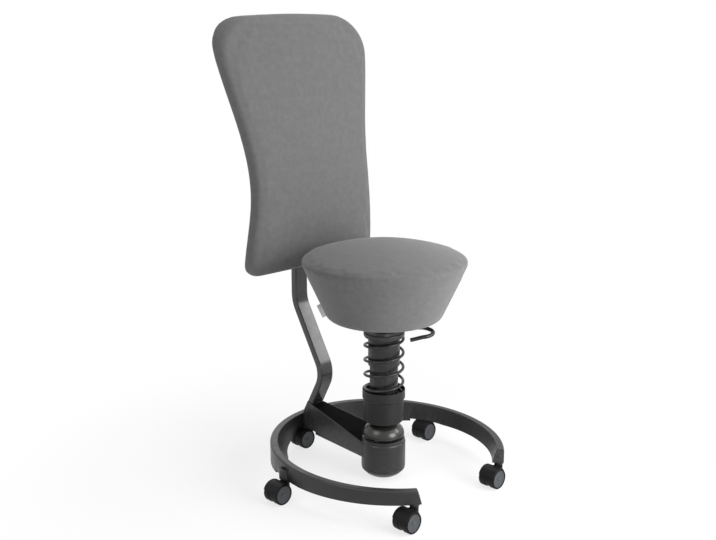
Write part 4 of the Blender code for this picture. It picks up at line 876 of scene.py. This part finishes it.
def makeArm():
    a, gap = footArm, footArm["gap"]
    knee, foot = barFoot()
    along = (knee - foot).normalized()
    across = Vector((-along.y, along.x)) * (backBar["thickness"] / 2)
    front, back = sorted((foot - along * gap + across, foot - along * gap - across), key=lambda spot: spot.x)
    ringBack, ringFace = ringSpot(180.0, 0.0).y, ringSpot(180.0, footRing["bar"] + gap).y

    def half(y):
        return a["width"] / 2 - (a["width"] - backBar["width"]) / 2 * min(y / front.x, 1.0)

    def top(y):
        if y < front.x:
            return a["topAtColumn"] + (front.y - a["topAtColumn"]) * y / front.x
        if y < back.x:
            return front.y + (back.y - front.y) * (y - front.x) / (back.x - front.x)
        return back.y + (y - back.x) * along.y / along.x

    def slab(y, low, high, inset):
        return oblong(half(y) - inset, (y, low), (y, high))

    def under(y):
        return a["footAtColumn"] + (a["footAtRing"] - a["footAtColumn"]) * y / ringBack

    sections = [slab(y, under(y), top(y), 0.0) for y in (a["start"], front.x, back.x, ringFace)]
    arm = loft("baseArm", sections, a["edge"], 2)
    coverEnd = front.x - a["margin"]
    cutters = [loft("coverRecess", [slab(y, top(y) - a["cover"] - gap, top(y) + a["above"], a["margin"] - gap)
                                    for y in (a["coverStart"] - gap, coverEnd + gap)])]
    socket = Matrix.Translation(ringSpot(*casterSpots["back"]))
    low = footRing["socketFoot"]
    for radius, height, place in ((columnParts["housingRadius"] + gap, a["boreTop"], Matrix()),
                                  (footRing["swivelRoom"], low, socket),
                                  (footRing["socketRadius"] + gap, low + footRing["socketHeight"], socket)):
        cutters.append(drum("armRoom", 0.0, radius, 0.0, height))
        moveMesh(cutters[-1], place)
    for cutter in cutters:
        cutAway(arm, cutter)
    smoothOver(arm, 30.0)
    settle(arm, "baseArm", "charcoalCoat", "base", ["base_arm"])
    print("arm done")


def makeBar():
    b = backBar
    knee, foot = barFoot()
    bend = Vector((b["uprightY"], b["kneeZ"] + (b["uprightY"] - b["kneeY"]) / math.tan(math.radians(b["slant"]))))
    top = Vector((b["uprightY"], b["top"]))
    line = [foot] + bendBetween(knee, foot, bend, b["kneeRadius"], b["bendSteps"])
    line += bendBetween(bend, knee, top, b["bendRadius"], b["bendSteps"]) + [top]
    sections = []
    for i, spot in enumerate(line):
        along = (line[min(i + 1, len(line) - 1)] - line[max(i - 1, 0)]).normalized()
        across = Vector((-along.y, along.x)) * (b["thickness"] / 2)
        sections.append(oblong(b["width"] / 2, spot + across, spot - across))
    bar = loft("backBar", sections, b["edge"], 3)
    settle(bar, "backBar", "barGloss", "base", ["backrest_bar"])
    for node, name, edge, finish, slotName in (
            ("arm_cover", "armCover", 0.0008, "deepBlack", "black_plastic"),
            ("backrest_bracket", "backBracket", 0.0010, "charcoalCoat", "charcoal_steel"),
            ("backrest_board", "backPanel", 0.0016, "blackPly", "plywood")):
        settle(softCopy(node, edge), name, finish, "base", [node], placed=True)
    print("bar and bracket done")


# soft goods
padCloth = {"quality": 5, "mass": 0.3, "tension_stiffness": 15.0, "compression_stiffness": 15.0,
            "bending_stiffness": 0.6, "use_pressure": True}
padSteps = {"frames": 20, "before": 4, "after": 3}


def puffUp(piece, voxel, push, cap, held):
    # voxel skin, a short cloth inflation, then one subdivision: no point moves in, or out past the cap
    applyModifier(piece, "REMESH", mode="VOXEL", voxel_size=voxel)
    applyModifier(piece, "SMOOTH", factor=0.5, iterations=padSteps["before"])
    rest = [vertex.co.copy() for vertex in piece.data.vertices]
    outward = [vertex.normal.copy() for vertex in piece.data.vertices]
    kept = piece.vertex_groups.new(name="kept")
    kept.add([i for i, spot in enumerate(rest) if held(spot)], 1.0, "REPLACE")
    cloth = piece.modifiers.new("Cloth", "CLOTH")
    for key, value in padCloth.items():
        setattr(cloth.settings, key, value)
    cloth.settings.uniform_pressure_force = push
    cloth.settings.vertex_group_mass = "kept"
    cloth.settings.effector_weights.gravity = 0.0
    cloth.collision_settings.use_collision = False
    cloth.point_cache.frame_start = 1
    cloth.point_cache.frame_end = padSteps["frames"] + 2
    for step in range(1, padSteps["frames"] + 1):
        bpy.context.scene.frame_set(step)
    pickOnly(piece)
    bpy.ops.object.modifier_apply(modifier="Cloth")
    bpy.context.scene.frame_set(1)
    for vertex, start, out in zip(piece.data.vertices, rest, outward):
        swell = (vertex.co - start).dot(out)
        vertex.co = start + out * min(max(swell, 0.0), cap)
    piece.vertex_groups.clear()
    applyModifier(piece, "SMOOTH", factor=0.5, iterations=padSteps["after"])
    applyModifier(piece, "SUBSURF", levels=1, render_levels=1)


seatPad = {
    "radius": 0.200, "rim": 0.5515, "seamRadius": 0.1955, "seam": 0.5600, "crown": 0.595, "foot": 0.4120,
    "footRadius": 0.1375, "corner": 0.016, "pocketRadius": 0.1075, "pocketTop": 0.4350, "start": 0.0010,
    "voxel": 0.0045, "push": 4.0, "cap": 0.0025, "seamRise": 0.0008, "seamWidth": 0.0036, "heldAbove": 0.004,
}


def makeSeat():
    s = seatPad
    inset = s["start"]
    profile = []
    for i in range(25):
        share = i / 24
        profile.append((max(s["seamRadius"] * share - inset * share, 0.0),
                        s["crown"] - inset - (s["crown"] - s["seam"]) * share * share))
    profile.append((s["radius"] - inset, s["rim"]))
    lean = math.atan2(s["radius"] - s["footRadius"], s["rim"] - s["foot"])
    bend = math.pi / 2 - lean
    centre = (s["footRadius"] - s["corner"] * math.tan(bend / 2), s["foot"] + s["corner"])
    for i in range(9):
        turn = -lean - bend * i / 8
        profile.append((centre[0] + (s["corner"] - inset) * math.cos(turn),
                        centre[1] + (s["corner"] - inset) * math.sin(turn)))
    profile += [(s["pocketRadius"], s["foot"] + inset), (s["pocketRadius"], s["pocketTop"]), (0.0, s["pocketTop"])]
    pad = turnPiece("seatPad", profile, 120)
    puffUp(pad, s["voxel"], s["push"], s["cap"],
           lambda spot: spot.z < s["pocketTop"] + s["heldAbove"] and math.hypot(spot.x, spot.y) < s["footRadius"])
    # the seam round the rim, raised a little after the padding
    for vertex in pad.data.vertices:
        out = math.hypot(vertex.co.x, vertex.co.y)
        off = math.hypot(out - s["seamRadius"], vertex.co.z - s["seam"]) / s["seamWidth"]
        if off < 1.0 and out > 0.0:
            rise = s["seamRise"] * (1.0 - eased(off))
            vertex.co.x += vertex.co.x / out * rise * 0.7
            vertex.co.y += vertex.co.y / out * rise * 0.7
            vertex.co.z += rise * 0.7
    smoothOver(pad, 80.0)
    settle(pad, "seatPad", "microfibre", "seat", ["seat_cover", "seat_foam"])
    print("seat pad done")


# a plain folded tape sewn into the seat's side, standing out from the cloth
seatTab = {"turn": 139.0, "top": 0.449, "length": 0.031, "stand": 0.0085, "hold": 0.004, "thick": 0.0014,
           "wave": 0.0012, "waves": 95.0, "edge": 0.0004}


def makeTab():
    t, s = seatTab, seatPad
    slope = (s["radius"] - s["footRadius"]) / (s["rim"] - s["foot"])
    clearSelection()
    bpy.ops.mesh.primitive_cube_add(size=1.0, location=(0.0, 0.0, 0.0))
    tab = bpy.context.object
    editAll(tab)
    bpy.ops.transform.resize(value=(t["stand"] + t["hold"], t["thick"], t["length"]))
    bpy.ops.mesh.subdivide(number_cuts=5)
    leaveEdit()
    for vertex in tab.data.vertices:
        x, y, z = vertex.co
        out = x + (t["stand"] - t["hold"]) / 2       # negative inside the cloth
        height = t["top"] - t["length"] / 2 + z
        edge = s["footRadius"] + (height - s["foot"]) * slope
        sway = t["wave"] * math.sin(z * t["waves"]) * max(out, 0.0) / t["stand"]
        vertex.co = (edge + out, y + sway, height - out * slope)
    roundEdges(tab, t["edge"], 2, 60.0)
    smoothOver(tab, 50.0)
    moveMesh(tab, Matrix.Rotation(math.radians(t["turn"]), 4, "Z"))
    settle(tab, "seatTab", "paleTape", "seat")
    print("tab done")


backPad = {
    "foot": 0.500, "top": 1.1206, "waistZ": 0.730, "shoulderZ": 1.118, "footWidth": 0.417, "waistWidth": 0.381,
    "topWidth": 0.492, "thickness": 0.050, "rearCorner": (0.078, 0.070), "faceCorner": (0.128, 0.100),
    "arch": 0.010, "footCorner": 0.030, "edge": 0.016, "crown": 0.006, "lumbarZ": 0.692, "lumbarY": 0.2195,
    "softness": 0.080, "lean": 0.213, "tuck": 0.125, "board": 0.008, "boardInset": 0.024,
    "boardGap": 0.0012, "step": 0.0006, "rim": 0.002, "held": 0.004,
    "start": 0.0002, "voxel": 0.0048, "push": 4.0, "cap": 0.0030,
}


def padFace(z):
    b = backPad
    rise = z - b["lumbarZ"]
    return (b["lumbarY"] + (b["lean"] - b["tuck"]) / 2 * rise
            + (b["lean"] + b["tuck"]) / 2 * (math.hypot(rise, b["softness"]) - b["softness"]))


def padHalf(z, inset, corner):
    b = backPad
    if z > b["waistZ"]:
        grow = (b["topWidth"] - b["waistWidth"]) * eased((z - b["waistZ"]) / (b["shoulderZ"] - b["waistZ"]))
    else:
        grow = (b["footWidth"] - b["waistWidth"]) * eased((b["waistZ"] - z) / (b["waistZ"] - b["foot"]))
    wide, tall = corner[0] - inset, corner[1] - inset
    lowCorner = max(b["footCorner"] - inset, b["edge"])
    over = min(max((z - (b["top"] - inset - tall)) / tall, 0.0), 1.0)
    under = min(max((b["foot"] + inset + lowCorner - z) / lowCorner, 0.0), 1.0)
    cut = wide * (1.0 - math.sqrt(1.0 - over * over)) + lowCorner * (1.0 - math.sqrt(1.0 - under * under))
    return (b["waistWidth"] + grow) / 2 - inset - cut


def padSection(z, inset, recessed):
    # a loop of points round the pad at one height, with the rear let in for the board
    b = backPad
    low, high = b["foot"] + inset, b["top"] - inset
    edge = b["edge"] - inset / 2
    depth = min(z - low, high - z, edge)
    roll = edge - math.sqrt(max(edge * edge - (edge - depth) ** 2, 0.0))
    thick = b["thickness"] - 2 * inset - 2 * roll
    corner = min(edge, thick * 0.48)
    half = padHalf(z, inset, b["rearCorner"])
    narrow = 1.0 - padHalf(z, inset, b["faceCorner"]) / half
    boardInset = b["boardInset"] - b["boardGap"]
    boardHalf = padHalf(z, boardInset, b["rearCorner"]) if recessed else half * 0.5
    sink = b["board"] + b["boardGap"] if recessed else 0.0
    face, deep = half - corner, thick / 2 - corner

    def cornerAt(quarter, x, y):
        turns = [math.pi / 2 * (quarter + i / 6) for i in range(7)]
        return [(x + corner * math.cos(turn), y + corner * math.sin(turn)) for turn in turns]

    points = cornerAt(0, face, deep)
    rearEdge = min(boardHalf, face - b["rim"])
    points += [(rearEdge + b["step"], thick / 2), (rearEdge, thick / 2 - sink)]
    for i in range(1, 12):
        points.append((rearEdge * (1.0 - i / 6), thick / 2 - sink))
    points += [(-rearEdge, thick / 2 - sink), (-rearEdge - b["step"], thick / 2)]
    points += cornerAt(1, -face, deep) + cornerAt(2, -face, -deep)
    for i in range(1, 14):
        points.append((-face + 2 * face * i / 14, -thick / 2))
    points += cornerAt(3, face, -deep)
    upper = eased((z - b["waistZ"]) / (b["top"] - b["waistZ"]))
    middle = padFace(z) + b["thickness"] / 2
    loop = []
    for x, y in points:
        x *= 1.0 - narrow * (0.5 - y / thick)
        if y < 0.0:
            y += b["crown"] * (x / half) ** 2 * min(1.0, -2.0 * y / thick)
        loop.append(Vector((x, middle + y, z - b["arch"] * upper * (2.0 * x / b["topWidth"]) ** 2)))
    return loop


def makeBackPad():
    b = backPad
    inset = b["start"]
    low, high = b["foot"] + inset, b["top"] - inset
    tall = b["faceCorner"][1]
    heights = [low + b["footCorner"] * (1.0 - math.cos(math.radians(a))) for a in (0, 8, 16, 25, 36, 50, 65, 80)]
    start = low + b["footCorner"]
    heights += [start + (high - tall - start) * i / 44 for i in range(44)]
    heights += [high - tall * (1.0 - math.sin(math.radians(a))) for a in range(0, 91, 5)]
    boardLow = b["foot"] + b["boardInset"] - b["boardGap"]
    boardHigh = b["top"] - b["boardInset"] + b["boardGap"]
    rows = sorted([(z, boardLow < z < boardHigh) for z in heights]
                  + [(boardLow, False), (boardLow + b["step"], True),
                     (boardHigh - b["step"], True), (boardHigh, False)])
    pad = loft("backPad", [padSection(z, inset, recessed) for z, recessed in rows])
    puffUp(pad, b["voxel"], b["push"], b["cap"],
           lambda spot: spot.y > padFace(spot.z) + b["thickness"] - b["board"] - b["held"])
    smoothOver(pad, 80.0)
    settle(pad, "backPad", "microfibre", "base", ["backrest_cover", "backrest_foam"])
    print("back pad done")


# finishes on the CAD nodes that stay
nodeFinishes = {
    "seat_board": "plainPly", "seat_plate": "zincSteel", "seat_screw": "zincSteel", "lever_pin": "zincSteel",
    "gas_spring": "springSteel", "valve_pin": "zincSteel", "column_post": "springSteel", "gimbal_ring": "zincSteel",
    "tilt_buffer": "deepBlack", "caster_axle": "zincSteel", "backrest_screw": "springSteel",
    "bar_bolt": "springSteel",
}


def dressNodes():
    for name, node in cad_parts.items():
        for start, finish in nodeFinishes.items():
            if name.startswith(start):
                paintOver(node, finish)
    print("CAD nodes dressed")


makeStudio()
makeFootRing()
makeCasters()
makeFoot()
makeDome()
makeCollar()
makeSlider()
makeSpring()
makeLever()
makeArm()
makeBar()
makeSeat()
makeTab()
makeBackPad()
dressNodes()
